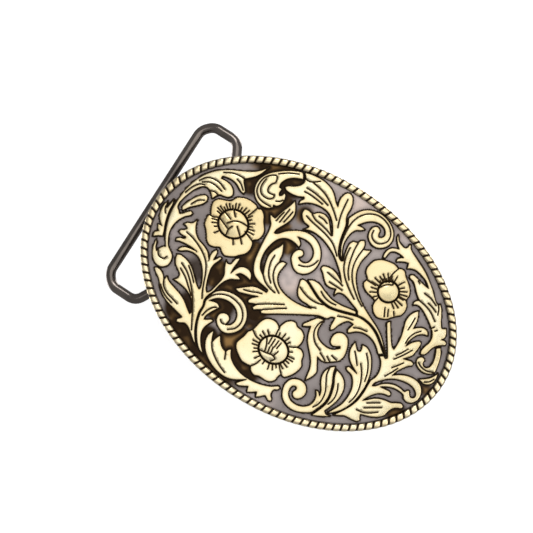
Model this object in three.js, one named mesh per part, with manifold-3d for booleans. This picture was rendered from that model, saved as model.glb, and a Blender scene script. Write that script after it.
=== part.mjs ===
// Oval dress belt buckle: a bowed plate with a rope border, scroll and flower overlays,
// a wire loop hinged in a barrel on the back, and a hook at the other end.
// Units are millimetres. X runs along the oval, Z up it, and the front faces -Y.
import * as THREE from 'three';
import { mergeVertices } from 'three/addons/utils/BufferGeometryUtils.js';
import Module from 'manifold-3d';

// Plate
const PLATE_LENGTH = 87.2;
const PLATE_HEIGHT = 61.6;
const PLATE_THICKNESS = 2.0;
const RIM_THICKNESS = 1.2;
const BOW_RADIUS = 220;
const BOW_FLAT_WIDTH = 10;
const BOW_STRIP = 6;
const OVAL_SIDES = 96;

// Rope border
const ROPE_DIAMETER = 1.9;
const ROPE_PITCH = 2.04;
const ROPE_WAIST = 0.72;
const ROPE_SIDES = 6;
const ROPE_SEAT_WIDTH = 2.3;
const ROPE_OVERHANG = 0.1;

// Overlays, drawn for a plate of this size and stretched to the real one
const DRAWN_LENGTH = 87.2;
const DRAWN_HEIGHT = 61.6;
const OVERLAY_THICKNESS = 0.8;
const BOSS_RISE = 0.15;
const SOLDER_GAP = 0.3;
const LONG_CHORD = 1.5;
const SHARP_TURN = 0.16;

// Wire loop and its hinge barrel
const WIRE_DIAMETER = 2.6;
const WIRE_SIDES = 8;
const WIRE_STEPS = 56;
const STRAP_WIDTH = 38;
const STRAP_CLEARANCE = 3.9;
const LOOP_REACH = 17.3;
const LOOP_BEND_REACH = 7.3;
const LOOP_CORNER = 2.6;
const LOOP_TILT = THREE.MathUtils.degToRad(17);
const HINGE_X = -27;
const HINGE_BORE_CLEARANCE = 0.3;
const BARREL_WALL = 0.9;
const BARREL_LENGTH = 19;
const BARREL_FOOT_WIDTH = 7.4;
const BARREL_FOOT_THICKNESS = 0.8;
const BARREL_SIDES = 20;
const PIN_DEPTH = 6;
const PIN_SHOULDER = 1.6;

// Hook
const HOOK_X = 26;
const HOOK_FOOT_DIAMETER = 7;
const HOOK_FOOT_THICKNESS = 1;
const HOOK_POST_DIAMETER = 4;
const HOOK_HEAD_DIAMETER = 5.4;
const HOOK_HEIGHT = 8;
const HOOK_LEAN = THREE.MathUtils.degToRad(14);
const HOOK_SIDES = 20;

const SCALE_X = PLATE_LENGTH / DRAWN_LENGTH;
const SCALE_Z = PLATE_HEIGHT / DRAWN_HEIGHT;
const FIELD_Y = -PLATE_THICKNESS;
const OVERLAY_BACK_Y = FIELD_Y - SOLDER_GAP;
const HALF_STRAP_SLOT = STRAP_WIDTH / 2 + STRAP_CLEARANCE;

const wasm = await Module();
wasm.setup();

// ---- Bow of the plate -------------------------------------------------------------------

// Fold lines, from the middle out: the strip between the first pair is flat.
const FOLDS = [];
for (let x = BOW_FLAT_WIDTH / 2; x < PLATE_LENGTH / 2 + BOW_STRIP; x += BOW_STRIP) {
  FOLDS.push(x);
}

function trueBow(x) {
  return (x * x) / (2 * BOW_RADIUS);
}

// How far back the plate has bent at x, straight between fold lines.
function bow(x) {
  const reach = Math.abs(x);
  if (reach <= FOLDS[0]) {
    return 0;
  }
  const next = Math.min(FOLDS.findIndex((fold) => fold > reach - 1e-9), FOLDS.length - 1);
  const outer = next < 1 ? FOLDS.length - 1 : next;
  const inner = outer - 1;
  const share = (reach - FOLDS[inner]) / (FOLDS[outer] - FOLDS[inner]);
  const bend = trueBow(FOLDS[inner]) * (1 - share) + trueBow(FOLDS[outer]) * share;
  return bend - trueBow(FOLDS[0]);
}

function crossing(a, b, fold) {
  const first = a.x < b.x ? a : b;
  const last = a.x < b.x ? b : a;
  const share = (fold - first.x) / (last.x - first.x);
  const point = new THREE.Vector3().lerpVectors(first, last, share);
  point.x = fold;
  return point;
}

// One triangle cut where it crosses the fold line at x = fold.
function cutTriangle(triangle, fold) {
  const snap = 0.05;
  const side = triangle.map((p) => (Math.abs(p.x - fold) < snap ? 0 : Math.sign(p.x - fold)));
  if (!side.includes(1) || !side.includes(-1)) {
    return [triangle];
  }
  const onFold = side.indexOf(0);
  if (onFold >= 0) {
    const p = triangle[onFold];
    const q = triangle[(onFold + 1) % 3];
    const r = triangle[(onFold + 2) % 3];
    const middle = crossing(q, r, fold);
    return [[p, q, middle], [p, middle, r]];
  }
  const total = side[0] + side[1] + side[2];
  const lone = side.indexOf(-Math.sign(total));
  const p = triangle[lone];
  const q = triangle[(lone + 1) % 3];
  const r = triangle[(lone + 2) % 3];
  const pq = crossing(p, q, fold);
  const rp = crossing(r, p, fold);
  return [[p, pq, rp], [pq, q, r], [pq, r, rp]];
}

// Cuts a flat solid along the fold lines and bends it with the plate.
function bowed(geometry) {
  const plain = geometry.index ? geometry.toNonIndexed() : geometry;
  const position = plain.getAttribute('position');
  let triangles = [];
  for (let i = 0; i < position.count; i += 3) {
    triangles.push([0, 1, 2].map((k) => new THREE.Vector3().fromBufferAttribute(position, i + k)));
  }
  for (const fold of FOLDS) {
    triangles = triangles.flatMap((triangle) => cutTriangle(triangle, -fold));
    triangles = triangles.flatMap((triangle) => cutTriangle(triangle, fold));
  }
  const numbers = triangles.flat().flatMap((p) => [p.x, p.y + bow(p.x), p.z]);
  const bent = new THREE.BufferGeometry();
  bent.setAttribute('position', new THREE.Float32BufferAttribute(numbers, 3));
  bent.computeVertexNormals();
  return bent;
}

// ---- Joins ------------------------------------------------------------------------------

function solidOf(geometry) {
  const bare = geometry.clone();
  bare.deleteAttribute('normal');
  bare.deleteAttribute('uv');
  const merged = mergeVertices(bare, 1e-4);
  return new wasm.Manifold(new wasm.Mesh({
    numProp: 3,
    vertProperties: merged.getAttribute('position').array,
    triVerts: new Uint32Array(merged.index.array),
  }));
}

function geometryOf(solid) {
  const mesh = solid.getMesh();
  const indexed = new THREE.BufferGeometry();
  indexed.setAttribute('position', new THREE.BufferAttribute(mesh.vertProperties, 3));
  indexed.setIndex(new THREE.BufferAttribute(mesh.triVerts, 1));
  const plain = indexed.toNonIndexed();
  plain.computeVertexNormals();
  return plain;
}

// ---- Outlines ---------------------------------------------------------------------------

// Points the outline runs through; a third value of 1 marks a sharp corner.
// Long or strongly turning stretches get points of their own between the given ones.
function smoothOutline(points) {
  const count = points.length;
  const at = (i) => points[(i + count) % count];
  const result = [];
  for (let i = 0; i < count; i += 1) {
    const start = at(i);
    const end = at(i + 1);
    const dx = end[0] - start[0];
    const dz = end[1] - start[1];
    const before = start[2] ? start : at(i - 1);
    const after = end[2] ? end : at(i + 2);
    result.push(new THREE.Vector2(start[0], start[1]));
    const chord = Math.hypot(dx, dz);
    const sag = Math.abs((before[0] + after[0] - start[0] - end[0]) * dz
      - (before[1] + after[1] - start[1] - end[1]) * dx) / (16 * chord);
    if (chord > LONG_CHORD && sag > SHARP_TURN / 4) {
      const x = (9 * (start[0] + end[0]) - before[0] - after[0]) / 16;
      const z = (9 * (start[1] + end[1]) - before[1] - after[1]) / 16;
      result.push(new THREE.Vector2(x, z));
    }
  }
  return result.map((p) => new THREE.Vector2(p.x * SCALE_X, p.y * SCALE_Z));
}

// A flat solid from an outline in X and Z, filling y from back to back - thickness.
function slab(outline, holes, back, thickness) {
  const shape = new THREE.Shape(outline);
  for (const hole of holes) {
    shape.holes.push(new THREE.Path(hole));
  }
  const geometry = new THREE.ExtrudeGeometry(shape, {
    depth: thickness,
    steps: 1,
    bevelEnabled: false,
  });
  geometry.rotateX(Math.PI / 2);
  geometry.translate(0, back, 0);
  return geometry;
}

function oval(halfLength, halfHeight, sides) {
  const points = [];
  for (let i = 0; i < sides; i += 1) {
    const turn = (2 * Math.PI * i) / sides;
    points.push(new THREE.Vector2(halfLength * Math.cos(turn), halfHeight * Math.sin(turn)));
  }
  return points;
}

// ---- Finishes ---------------------------------------------------------------------------

const silver = () => new THREE.MeshStandardMaterial({
  color: 0x8f8890,
  roughness: 0.5,
  metalness: 0.9,
});
const brass = () => new THREE.MeshStandardMaterial({
  color: 0xe3cf8e,
  roughness: 0.35,
  metalness: 0.9,
});
const darkNickel = () => new THREE.MeshStandardMaterial({
  color: 0x5c5a5c,
  roughness: 0.35,
  metalness: 0.95,
});

const buckle = new THREE.Group();
buckle.name = 'belt_buckle';

function addNode(name, geometry, material) {
  const mesh = new THREE.Mesh(geometry, material);
  mesh.name = name;
  buckle.add(mesh);
}

// ---- Base plate -------------------------------------------------------------------------

const halfLength = PLATE_LENGTH / 2 - ROPE_OVERHANG;
const halfHeight = PLATE_HEIGHT / 2 - ROPE_OVERHANG;
const rim = slab(oval(halfLength, halfHeight, OVAL_SIDES), [], 0, RIM_THICKNESS);
const field = slab(
  oval(halfLength - ROPE_SEAT_WIDTH, halfHeight - ROPE_SEAT_WIDTH, OVAL_SIDES),
  [],
  -RIM_THICKNESS / 2,
  PLATE_THICKNESS - RIM_THICKNESS / 2,
);
const plateSolid = solidOf(rim).add(solidOf(field));
addNode('base_plate', bowed(geometryOf(plateSolid)), silver());

// ---- Rope border ------------------------------------------------------------------------

// A closed ring along the oval whose thickness swells once for every strand.
function ropeRing() {
  const radius = ROPE_DIAMETER / 2;
  const a = PLATE_LENGTH / 2 - radius;
  const b = PLATE_HEIGHT / 2 - radius;
  const y = -RIM_THICKNESS - SOLDER_GAP - radius;
  const path = new THREE.CatmullRomCurve3(
    oval(a, b, OVAL_SIDES).map((p) => new THREE.Vector3(p.x, 0, p.y)),
    true,
  );
  path.arcLengthDivisions = 1000;
  const strands = Math.round(path.getLength() / ROPE_PITCH);
  const rings = 2 * strands;
  const numbers = [];
  for (let i = 0; i < rings; i += 1) {
    const centre = path.getPointAt(i / rings);
    const along = path.getTangentAt(i / rings);
    const out = new THREE.Vector3(along.z, 0, -along.x);
    const size = radius * (i % 2 ? ROPE_WAIST : 1);
    for (let j = 0; j < ROPE_SIDES; j += 1) {
      const turn = (2 * Math.PI * (j + 0.5)) / ROPE_SIDES;
      const x = centre.x + out.x * size * Math.cos(turn);
      const z = centre.z + out.z * size * Math.cos(turn);
      numbers.push(x, y + bow(x) + size * Math.sin(turn), z);
    }
  }
  const faces = [];
  for (let i = 0; i < rings; i += 1) {
    for (let j = 0; j < ROPE_SIDES; j += 1) {
      const k = (j + 1) % ROPE_SIDES;
      const next = ((i + 1) % rings) * ROPE_SIDES;
      const here = i * ROPE_SIDES;
      faces.push(here + j, next + k, next + j, here + j, here + k, next + k);
    }
  }
  const ring = new THREE.BufferGeometry();
  ring.setAttribute('position', new THREE.Float32BufferAttribute(numbers, 3));
  ring.setIndex(faces);
  return ring.toNonIndexed();
}

const rope = ropeRing();
rope.computeVertexNormals();
addNode('rope_border', rope, brass());

// ---- Scroll and leaf overlays -----------------------------------------------------------

const OVERLAYS = {
  rim_leaf_left: [
    [-23.5, 22.8, 1], [-24.2, 20.5], [-25.2, 18.8], [-26.4, 17.6], [-27.2, 16.8], [-26.2, 15.4],
    [-25.3, 14.3], [-25.4, 13.6], [-26.3, 13.8], [-28.1, 14.7], [-30.0, 15.0], [-32.2, 14.5],
    [-32.2, 13.9], [-30.6, 14.0], [-29.0, 13.7], [-27.8, 12.7], [-27.5, 11.7], [-28.1, 10.8],
    [-29.2, 10.4], [-30.4, 10.1, 1], [-31.4, 8.3, 1], [-32.3, 9.2], [-33.4, 9.9], [-34.6, 9.9],
    [-35.7, 8.9], [-36.7, 7.1], [-37.4, 5.0], [-37.8, 3.0], [-37.6, 1.9], [-36.9, 1.3],
    [-36.3, 0.7, 1], [-35.6, 1.3], [-34.9, 2.2], [-34.1, 2.8], [-33.5, 2.5], [-33.7, 1.8],
    [-34.6, 0.9], [-35.5, -0.6], [-36.0, -2.4], [-35.9, -4.4], [-35.2, -6.2], [-34.2, -7.7],
    [-33.2, -8.4], [-32.1, -9.2], [-31.6, -10.6], [-31.8, -12.1], [-32.8, -13.1], [-34.3, -13.3],
    [-35.7, -12.6], [-36.9, -11.2], [-37.6, -9.5], [-37.8, -7.8, 1], [-37.3, -8.4], [-36.8, -9.6],
    [-36.1, -10.4, 1], [-35.9, -9.4], [-35.4, -8.6], [-34.8, -8.2, 1], [-36.0, -6.5],
    [-37.0, -4.6], [-37.7, -2.8], [-38.2, -1.0], [-38.5, 1.0], [-38.6, 3.5], [-38.4, 6.5],
    [-37.8, 9.2], [-36.8, 11.6], [-35.4, 13.7], [-33.6, 15.5], [-31.4, 17.0], [-28.8, 18.3],
    [-26.3, 19.7], [-24.6, 21.3],
  ],
  bud_left: [
    [-36.2, 1.7], [-36.7, 2.6], [-36.3, 4.1], [-35.5, 5.9], [-34.4, 7.4], [-33.2, 8.2],
    [-32.5, 8.0], [-32.2, 7.1], [-32.6, 6.0], [-33.8, 4.6], [-35.0, 3.4], [-35.7, 2.3],
  ],
  rim_strip_left: [
    [-39.4, 3.1, 1], [-39.0, 1.6], [-38.9, 0.1], [-38.5, -1.8], [-37.9, -3.6], [-37.2, -5.2],
    [-36.8, -6.4], [-37.9, -7.0], [-38.9, -7.8, 1], [-39.2, -6.6], [-38.4, -5.8, 1],
    [-39.1, -5.3], [-39.5, -4.4, 1], [-38.5, -4.3, 1], [-39.4, -3.6], [-40.3, -2.6],
    [-40.8, -1.1], [-40.9, 0.6], [-40.5, 1.9, 1], [-40.2, 0.6], [-39.8, 0.2, 1], [-39.6, 1.6],
  ],
  scroll_upper_left: [
    [-15.6, 26.15, 1], [-17.5, 25.5], [-19.3, 24.45], [-21.2, 23.0], [-22.8, 21.4],
    [-23.8, 19.6], [-24.1, 17.8], [-23.6, 16.0], [-22.5, 14.6], [-21.1, 13.75], [-19.5, 13.5],
    [-18.1, 13.9], [-17.2, 14.8, 1], [-17.5, 15.3, 1], [-16.6, 15.5], [-15.9, 16.6],
    [-15.8, 18.0], [-16.2, 19.1], [-16.75, 19.4, 1], [-17.0, 18.5], [-17.4, 18.1],
    [-17.8, 18.6], [-17.8, 19.9, 1], [-18.6, 19.9, 1], [-18.8, 20.9], [-18.3, 22.3],
    [-17.2, 23.5], [-15.8, 24.3], [-14.6, 24.8, 1], [-14.9, 25.4],
  ],
  main_stem: [
    [-14.3, 25.5, 1], [-15.15, 26.5, 1], [-13.5, 27.0], [-11.0, 27.35], [-9.0, 27.2],
    [-7.1, 26.6], [-5.6, 25.5], [-4.5, 24.4], [-3.5, 23.7, 1], [-3.95, 24.9], [-4.05, 26.4],
    [-3.6, 27.7], [-2.7, 28.2], [-1.7, 27.8], [-0.9, 26.6], [-0.5, 25.0], [-0.45, 23.4],
    [-0.1, 22.3], [0.55, 21.2], [0.95, 19.8], [1.2, 18.3], [1.6, 16.8], [2.2, 15.2],
    [2.9, 13.9], [3.4, 13.3, 1], [4.5, 12.7, 1], [5.0, 12.9, 1], [4.5, 14.4], [4.1, 16.0],
    [4.0, 17.5], [4.5, 18.5], [5.2, 18.7], [5.6, 18.9, 1], [6.0, 19.7], [6.8, 20.2],
    [7.4, 19.4], [7.65, 18.1, 1], [8.4, 18.4], [9.5, 19.0, 1], [9.3, 17.5], [8.95, 15.6],
    [9.1, 13.4], [9.8, 11.5], [11.2, 9.6], [13.4, 7.5], [16.0, 5.9], [18.5, 4.7],
    [21.0, 3.6], [23.3, 2.2], [25.2, 0.5], [26.5, -0.9], [26.8, -1.3, 1], [26.5, -1.0, 1],
    [25.0, 0.2], [22.3, 2.15], [19.5, 3.3], [17.0, 3.6], [15.4, 3.5, 1], [14.9, 4.2, 1],
    [12.5, 5.1], [10.5, 5.75], [9.2, 5.85], [8.2, 5.4], [7.75, 4.3, 1], [7.45, 5.2],
    [7.3, 6.05, 1], [6.0, 5.55], [4.7, 5.6], [3.5, 6.4], [2.4, 7.5], [1.3, 8.4], [1.4, 9.1],
    [2.4, 9.6], [3.9, 9.75], [5.6, 9.3], [6.9, 8.6], [7.6, 8.1, 1], [6.3, 9.6], [4.6, 11.1],
    [2.6, 12.6], [0.3, 13.8], [-2.2, 14.7], [-4.6, 15.0], [-6.4, 14.8], [-7.8, 14.2, 1],
    [-7.0, 15.3], [-7.0, 15.7, 1], [-8.6, 15.9], [-9.7, 16.7], [-10.3, 17.7], [-10.2, 18.6],
    [-9.3, 18.95], [-7.9, 18.85, 1], [-6.9, 19.8], [-5.3, 20.3], [-3.9, 19.9], [-2.7, 18.7],
    [-1.6, 17.4], [-0.7, 16.8, 1], [-1.4, 18.0], [-2.6, 19.6], [-4.3, 20.95], [-6.3, 21.4],
    [-8.8, 21.1], [-10.8, 20.2], [-12.2, 18.9, 1], [-12.3, 19.9], [-11.8, 20.8], [-12.0, 21.2, 1],
    [-13.3, 20.5], [-15.2, 20.1], [-16.8, 20.2], [-17.5, 20.7], [-17.0, 21.3], [-15.6, 22.1],
    [-14.5, 23.1], [-14.0, 24.2], [-14.1, 24.9],
  ],
  scroll_top: [
    [3.65, 13.8, 1], [3.2, 14.6], [2.6, 15.6], [2.0, 17.1], [1.6, 18.6], [1.35, 20.1],
    [0.95, 21.6], [0.4, 22.7], [0.9, 24.2], [1.8, 25.8], [3.2, 27.1], [5.0, 27.9], [7.0, 28.1],
    [9.0, 27.7], [10.8, 26.8], [12.1, 25.5], [12.7, 23.8], [12.4, 22.1], [11.3, 20.8],
    [9.8, 20.2], [8.2, 20.5], [7.0, 21.5], [6.5, 23.0], [6.8, 24.3], [7.7, 24.9], [8.7, 24.4],
    [8.9, 23.4], [9.3, 22.9], [10.0, 23.2], [10.3, 24.2], [9.6, 25.2], [8.2, 25.75],
    [6.4, 25.5], [4.8, 24.5], [3.7, 23.2], [3.2, 22.5, 1], [4.4, 22.7], [5.4, 22.6, 1],
    [4.6, 21.8], [3.6, 21.2], [3.0, 20.2], [2.7, 18.6], [2.8, 16.8], [3.3, 15.3], [4.0, 14.0],
    [4.5, 13.2, 1],
  ],
  leaf_centre_upper: [
    [0.1, 4.1, 1], [1.3, 4.8], [3.2, 4.85], [5.2, 4.1], [8.0, 3.3], [11.0, 3.4], [13.2, 3.8],
    [14.6, 3.9, 1], [14.9, 3.3, 1], [12.3, 2.45], [10.0, 1.75], [7.8, 1.45], [5.0, 1.9],
    [2.5, 3.0],
  ],
  centre_vine: [
    [-13.4, 19.2, 1], [-12.4, 17.9], [-11.6, 16.1], [-11.8, 14.1], [-12.6, 12.2],
    [-13.4, 10.5], [-13.5, 9.5], [-12.8, 9.7], [-11.5, 11.2], [-9.5, 12.8], [-7.2, 13.9],
    [-4.8, 14.1], [-2.6, 13.3], [-1.0, 11.9], [0.0, 10.0], [0.2, 8.0], [-0.3, 6.2],
    [-1.5, 4.8], [-3.2, 4.2], [-4.6, 4.6], [-5.6, 5.6, 1], [-6.4, 6.4], [-6.7, 7.9],
    [-6.1, 9.2], [-5.1, 9.6], [-4.4, 9.1], [-4.4, 8.3], [-5.0, 7.6, 1], [-4.2, 7.2],
    [-3.1, 7.2], [-2.2, 8.0], [-2.0, 9.4], [-2.6, 10.9], [-4.1, 12.0], [-6.0, 12.25],
    [-7.9, 11.9, 1], [-7.0, 11.4], [-6.3, 10.6], [-6.3, 9.8, 1], [-7.4, 10.1], [-9.0, 10.2],
    [-10.6, 9.7], [-11.9, 8.4], [-12.6, 6.5], [-12.9, 4.2], [-12.5, 1.9], [-11.5, 0.0],
    [-10.0, -1.0, 1], [-10.8, 0.7], [-11.4, 2.6], [-11.6, 4.4], [-11.1, 6.2], [-10.4, 7.5],
    [-10.1, 8.7, 1], [-9.4, 7.4], [-8.8, 6.0], [-8.6, 4.6], [-8.3, 3.9, 1], [-7.6, 4.6],
    [-6.7, 4.7, 1], [-6.9, 3.0], [-7.0, 1.6], [-6.5, 0.2], [-5.5, -0.9], [-4.0, -1.7],
    [-2.0, -2.2], [0.5, -2.3], [3.0, -2.0], [4.7, -1.5, 1], [3.4, -1.15], [1.6, -1.15],
    [0.3, -0.7], [-0.6, 0.4], [-1.1, 1.8], [-1.4, 3.2], [-0.9, 3.6], [-0.1, 3.65, 1],
    [2.2, 2.65], [4.8, 1.5], [7.8, 1.0], [9.9, 1.3], [12.4, 2.0], [15.2, 2.95], [17.0, 3.2],
    [19.4, 2.9], [22.1, 1.75], [24.8, -0.25], [26.2, -1.3, 1], [25.2, -2.0, 1], [23.0, -0.3],
    [21.0, 0.4], [19.0, 0.35], [17.3, -0.4], [16.3, -1.3], [15.75, -1.7], [15.4, -1.1],
    [15.6, 0.1], [15.8, 0.9, 1], [14.3, 0.8], [13.3, -0.3], [12.7, -1.6], [12.2, -3.0],
    [11.6, -3.5], [11.2, -2.6], [11.1, -1.1], [11.0, -0.2, 1], [10.1, -0.6], [9.4, -1.5, 1],
    [7.3, -2.0, 1], [5.0, -3.2], [2.0, -5.0], [-1.5, -7.1], [-4.5, -9.0], [-5.3, -9.3],
    [-5.7, -8.9], [-5.4, -8.3, 1], [-6.5, -9.0], [-7.5, -9.6], [-8.0, -9.2], [-7.6, -8.4],
    [-7.3, -8.0, 1], [-8.4, -8.4], [-9.4, -8.8], [-9.9, -8.4], [-9.5, -7.5], [-8.2, -6.2, 1],
    [-9.9, -6.9], [-11.6, -7.5], [-13.1, -7.9], [-14.2, -7.6], [-13.4, -6.9], [-12.3, -6.0],
    [-11.0, -4.9], [-9.3, -4.3], [-7.0, -4.2, 1], [-7.0, -3.6, 1], [-8.1, -3.3], [-10.0, -3.0],
    [-11.9, -2.2], [-13.2, -0.6], [-14.0, 1.5], [-14.4, 4.0], [-14.7, 6.5], [-14.9, 9.0],
    [-15.4, 10.9], [-16.3, 12.0], [-16.9, 13.0, 1], [-15.3, 12.7, 1], [-15.0, 13.8],
    [-14.6, 15.3], [-14.0, 17.0],
  ],
  comma_scroll: [
    [7.4, -2.6, 1], [9.1, -2.1, 1], [8.95, -3.8], [9.1, -5.2], [9.9, -6.5], [11.5, -7.3],
    [13.6, -7.55], [15.2, -7.0], [16.3, -6.0, 1], [16.0, -5.6, 1], [15.1, -6.2], [14.2, -6.5],
    [13.4, -6.1], [13.0, -5.0], [13.1, -3.8], [13.9, -2.8], [15.1, -2.4], [16.4, -2.8],
    [17.4, -4.1], [18.0, -5.8], [18.2, -7.4], [17.8, -8.8], [16.8, -9.7], [15.5, -10.7],
    [14.0, -11.2], [12.6, -10.9, 1], [13.6, -12.6], [14.5, -14.2], [14.3, -15.6],
    [13.7, -16.8], [13.2, -17.6, 1], [12.9, -16.2], [12.6, -14.6], [11.7, -12.7],
    [10.0, -10.7], [8.4, -9.0], [7.5, -7.2], [7.0, -5.3, 1], [6.2, -5.9], [5.2, -6.4],
    [5.1, -5.8], [5.8, -4.7], [6.7, -3.4],
  ],
  scroll_lower_right: [
    [17.8, -10.5, 1], [18.2, -12.1], [19.45, -14.7], [20.3, -17.5], [20.3, -19.9],
    [19.5, -22.2], [18.9, -23.5, 1], [17.0, -24.8], [15.2, -25.5], [13.4, -25.6],
    [11.7, -25.1], [10.4, -24.0], [9.6, -22.4], [9.4, -20.8], [9.9, -19.4], [11.0, -18.5],
    [12.4, -18.1], [13.8, -18.4], [14.8, -19.4], [15.1, -20.8], [14.6, -22.1], [13.5, -22.8],
    [12.5, -22.4], [12.2, -21.6], [12.5, -20.7], [12.2, -20.2], [11.4, -20.4], [11.1, -21.4],
    [11.6, -22.8], [12.8, -23.7], [14.5, -23.9], [16.2, -23.4], [17.5, -22.2], [17.9, -20.6],
    [17.5, -19.1], [16.8, -18.2, 1], [17.5, -18.1], [18.4, -18.9, 1], [18.0, -17.6],
    [17.0, -16.2], [16.2, -14.5], [16.1, -12.9], [16.5, -11.8], [17.2, -10.9],
  ],
  leaf_lower_right: [
    [18.5, -11.0, 1], [19.8, -11.3], [21.4, -12.2], [22.5, -13.8], [22.9, -15.8],
    [22.7, -18.0], [22.1, -19.9], [21.5, -21.4, 1], [22.3, -21.9], [23.5, -21.6, 1],
    [23.0, -22.1, 1], [20.9, -23.4], [19.3, -24.1, 1], [20.0, -22.3], [20.8, -20.0],
    [20.8, -17.5], [20.0, -14.7], [18.9, -12.6],
  ],
  leaf_right_large: [
    [18.6, -2.5, 1], [19.4, -3.3], [20.4, -4.1], [21.0, -3.9], [20.9, -3.1], [20.5, -2.2, 1],
    [21.8, -2.1], [23.6, -3.1], [25.0, -4.9], [26.1, -7.1], [26.7, -9.5], [26.85, -12.0],
    [26.6, -14.8], [25.8, -17.4], [24.5, -19.6], [23.0, -21.1, 1], [22.4, -21.4, 1],
    [23.3, -19.6], [24.2, -17.6], [24.5, -15.4], [24.3, -13.2], [23.5, -11.4], [22.2, -10.1],
    [20.6, -9.7], [20.2, -9.2], [20.6, -8.7], [21.8, -8.8], [23.3, -9.1, 1], [21.7, -8.3],
    [20.2, -7.4], [19.1, -6.1], [18.5, -4.4],
  ],
  right_stem: [
    [27.9, 12.7, 1], [28.5, 11.6], [29.0, 10.2], [29.1, 9.0], [29.2, 8.2, 1], [30.0, 9.0],
    [31.3, 9.7], [32.5, 9.6], [33.3, 8.6, 1], [32.0, 8.2], [30.9, 7.2], [30.2, 5.8],
    [29.9, 4.4], [30.0, 3.5, 1], [30.6, 4.7], [31.4, 5.7], [32.4, 6.4], [32.9, 6.1],
    [33.0, 5.0], [32.9, 3.5], [32.7, 2.3], [32.0, 1.3], [31.2, 0.4, 1], [32.2, 0.7],
    [33.3, 1.0], [34.0, 0.7], [34.0, 0.1], [33.2, -0.6], [32.4, -1.7], [31.6, -3.1],
    [31.1, -4.6, 1], [32.4, -3.6], [34.2, -2.7], [36.2, -2.35], [37.9, -2.6], [39.2, -3.5],
    [40.0, -5.1], [39.9, -6.7], [39.1, -7.9], [37.9, -8.4], [36.8, -8.1], [36.1, -7.3, 1],
    [34.8, -7.1], [33.3, -7.2], [31.6, -7.8], [30.1, -8.7, 1], [31.6, -8.5], [32.8, -8.4],
    [33.4, -8.9], [33.2, -9.5], [32.2, -9.7], [30.8, -10.3], [29.5, -11.6], [28.6, -13.1],
    [28.2, -14.0, 1], [29.0, -13.3], [30.1, -12.2], [31.6, -11.3], [33.3, -10.8],
    [34.6, -10.6], [35.8, -9.9], [37.0, -9.4], [37.8, -9.8], [37.6, -10.5], [36.6, -11.0],
    [35.7, -11.8], [35.2, -13.0], [34.9, -14.3], [33.8, -15.5], [32.0, -16.5], [30.5, -17.0],
    [29.6, -17.3, 1], [29.9, -18.0], [30.3, -18.6], [29.8, -19.3], [28.2, -19.6],
    [26.4, -19.8], [25.1, -20.5], [23.9, -21.1, 1], [25.0, -19.4], [26.3, -17.0],
    [27.1, -14.6], [27.3, -12.0], [27.2, -9.8], [27.2, -8.6, 1], [27.7, -7.4], [27.8, -6.0],
    [27.4, -4.4], [26.6, -3.1], [25.7, -2.3, 1], [26.7, -1.7, 1], [27.3, -2.0], [27.7, -1.6, 1],
    [26.4, 0.4], [24.9, 2.6], [23.5, 4.6], [22.8, 5.9], [23.3, 6.6, 1], [24.3, 5.3],
    [25.8, 3.3], [27.1, 1.5], [27.9, 1.1, 1], [27.9, 2.6], [27.7, 4.6], [27.1, 6.8],
    [26.5, 8.7], [26.6, 10.6], [27.2, 11.9],
  ],
  leaf_rim_lower_right: [
    [37.4, -1.8, 1], [38.4, -1.0], [39.5, -0.1], [40.2, 1.0], [40.7, 2.1, 1], [41.0, 0.8],
    [40.9, -0.6], [40.3, -1.6], [39.3, -2.15], [38.2, -2.05],
  ],
  hook_curl_right: [
    [37.7, 7.9, 1], [38.6, 6.6], [39.3, 4.8], [39.7, 3.0], [39.8, 1.7], [38.9, 0.7],
    [37.4, 0.2], [35.9, 0.4], [34.7, 1.1], [34.2, 2.2], [34.6, 3.1], [35.4, 3.4], [36.0, 3.0],
    [36.0, 2.3], [36.4, 1.7], [37.3, 1.6], [37.9, 2.2], [38.1, 3.4], [37.8, 4.9],
    [37.3, 6.2], [36.9, 7.1],
  ],
  rim_leaf_right: [
    [13.2, 26.1, 1], [14.0, 25.0], [15.1, 24.4], [16.3, 24.2], [16.8, 24.6, 1], [16.9, 25.4],
    [17.2, 25.7, 1], [17.7, 24.9], [19.0, 24.1], [21.0, 23.2], [23.5, 22.1], [25.5, 20.9],
    [27.5, 19.5], [29.3, 17.9], [30.7, 16.8], [31.3, 16.6, 1], [31.6, 17.1, 1], [32.4, 16.4],
    [33.4, 14.9], [34.4, 13.2], [35.3, 12.2, 1], [36.3, 12.7, 1], [37.0, 11.6], [37.2, 10.4],
    [36.7, 9.7, 1], [37.6, 9.9], [38.3, 9.6], [38.3, 9.0], [37.5, 8.4], [36.5, 7.5],
    [35.8, 6.2], [35.5, 4.9], [35.0, 4.0], [34.2, 3.7], [33.9, 4.6], [34.1, 6.0], [34.5, 7.4],
    [34.4, 8.8], [33.7, 10.0], [32.3, 11.2], [30.8, 12.2], [29.0, 13.2], [27.5, 13.7],
    [26.5, 13.6], [25.9, 13.1, 1], [25.7, 13.9], [26.1, 14.6], [26.6, 15.0], [25.3, 15.9],
    [24.0, 17.1], [22.8, 18.1], [21.4, 18.5], [21.2, 19.1], [21.9, 19.6], [23.6, 19.35],
    [25.4, 19.0], [26.9, 18.8, 1], [25.5, 19.9], [23.5, 20.6], [21.6, 20.85], [20.4, 20.5],
    [19.6, 20.0, 1], [19.4, 20.8], [19.2, 21.4, 1], [18.2, 21.1], [17.1, 20.5], [16.4, 20.0],
    [16.2, 20.6], [16.7, 21.4], [17.4, 21.9, 1], [16.0, 22.1], [14.7, 21.9], [13.8, 21.2],
    [13.6, 20.2], [13.5, 19.2, 1], [12.9, 19.2], [12.7, 20.2], [12.9, 21.4], [13.6, 22.4],
    [14.6, 22.9], [15.3, 23.1, 1], [14.4, 23.8], [13.7, 24.7], [13.1, 25.5],
  ],
  left_vine: [
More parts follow.
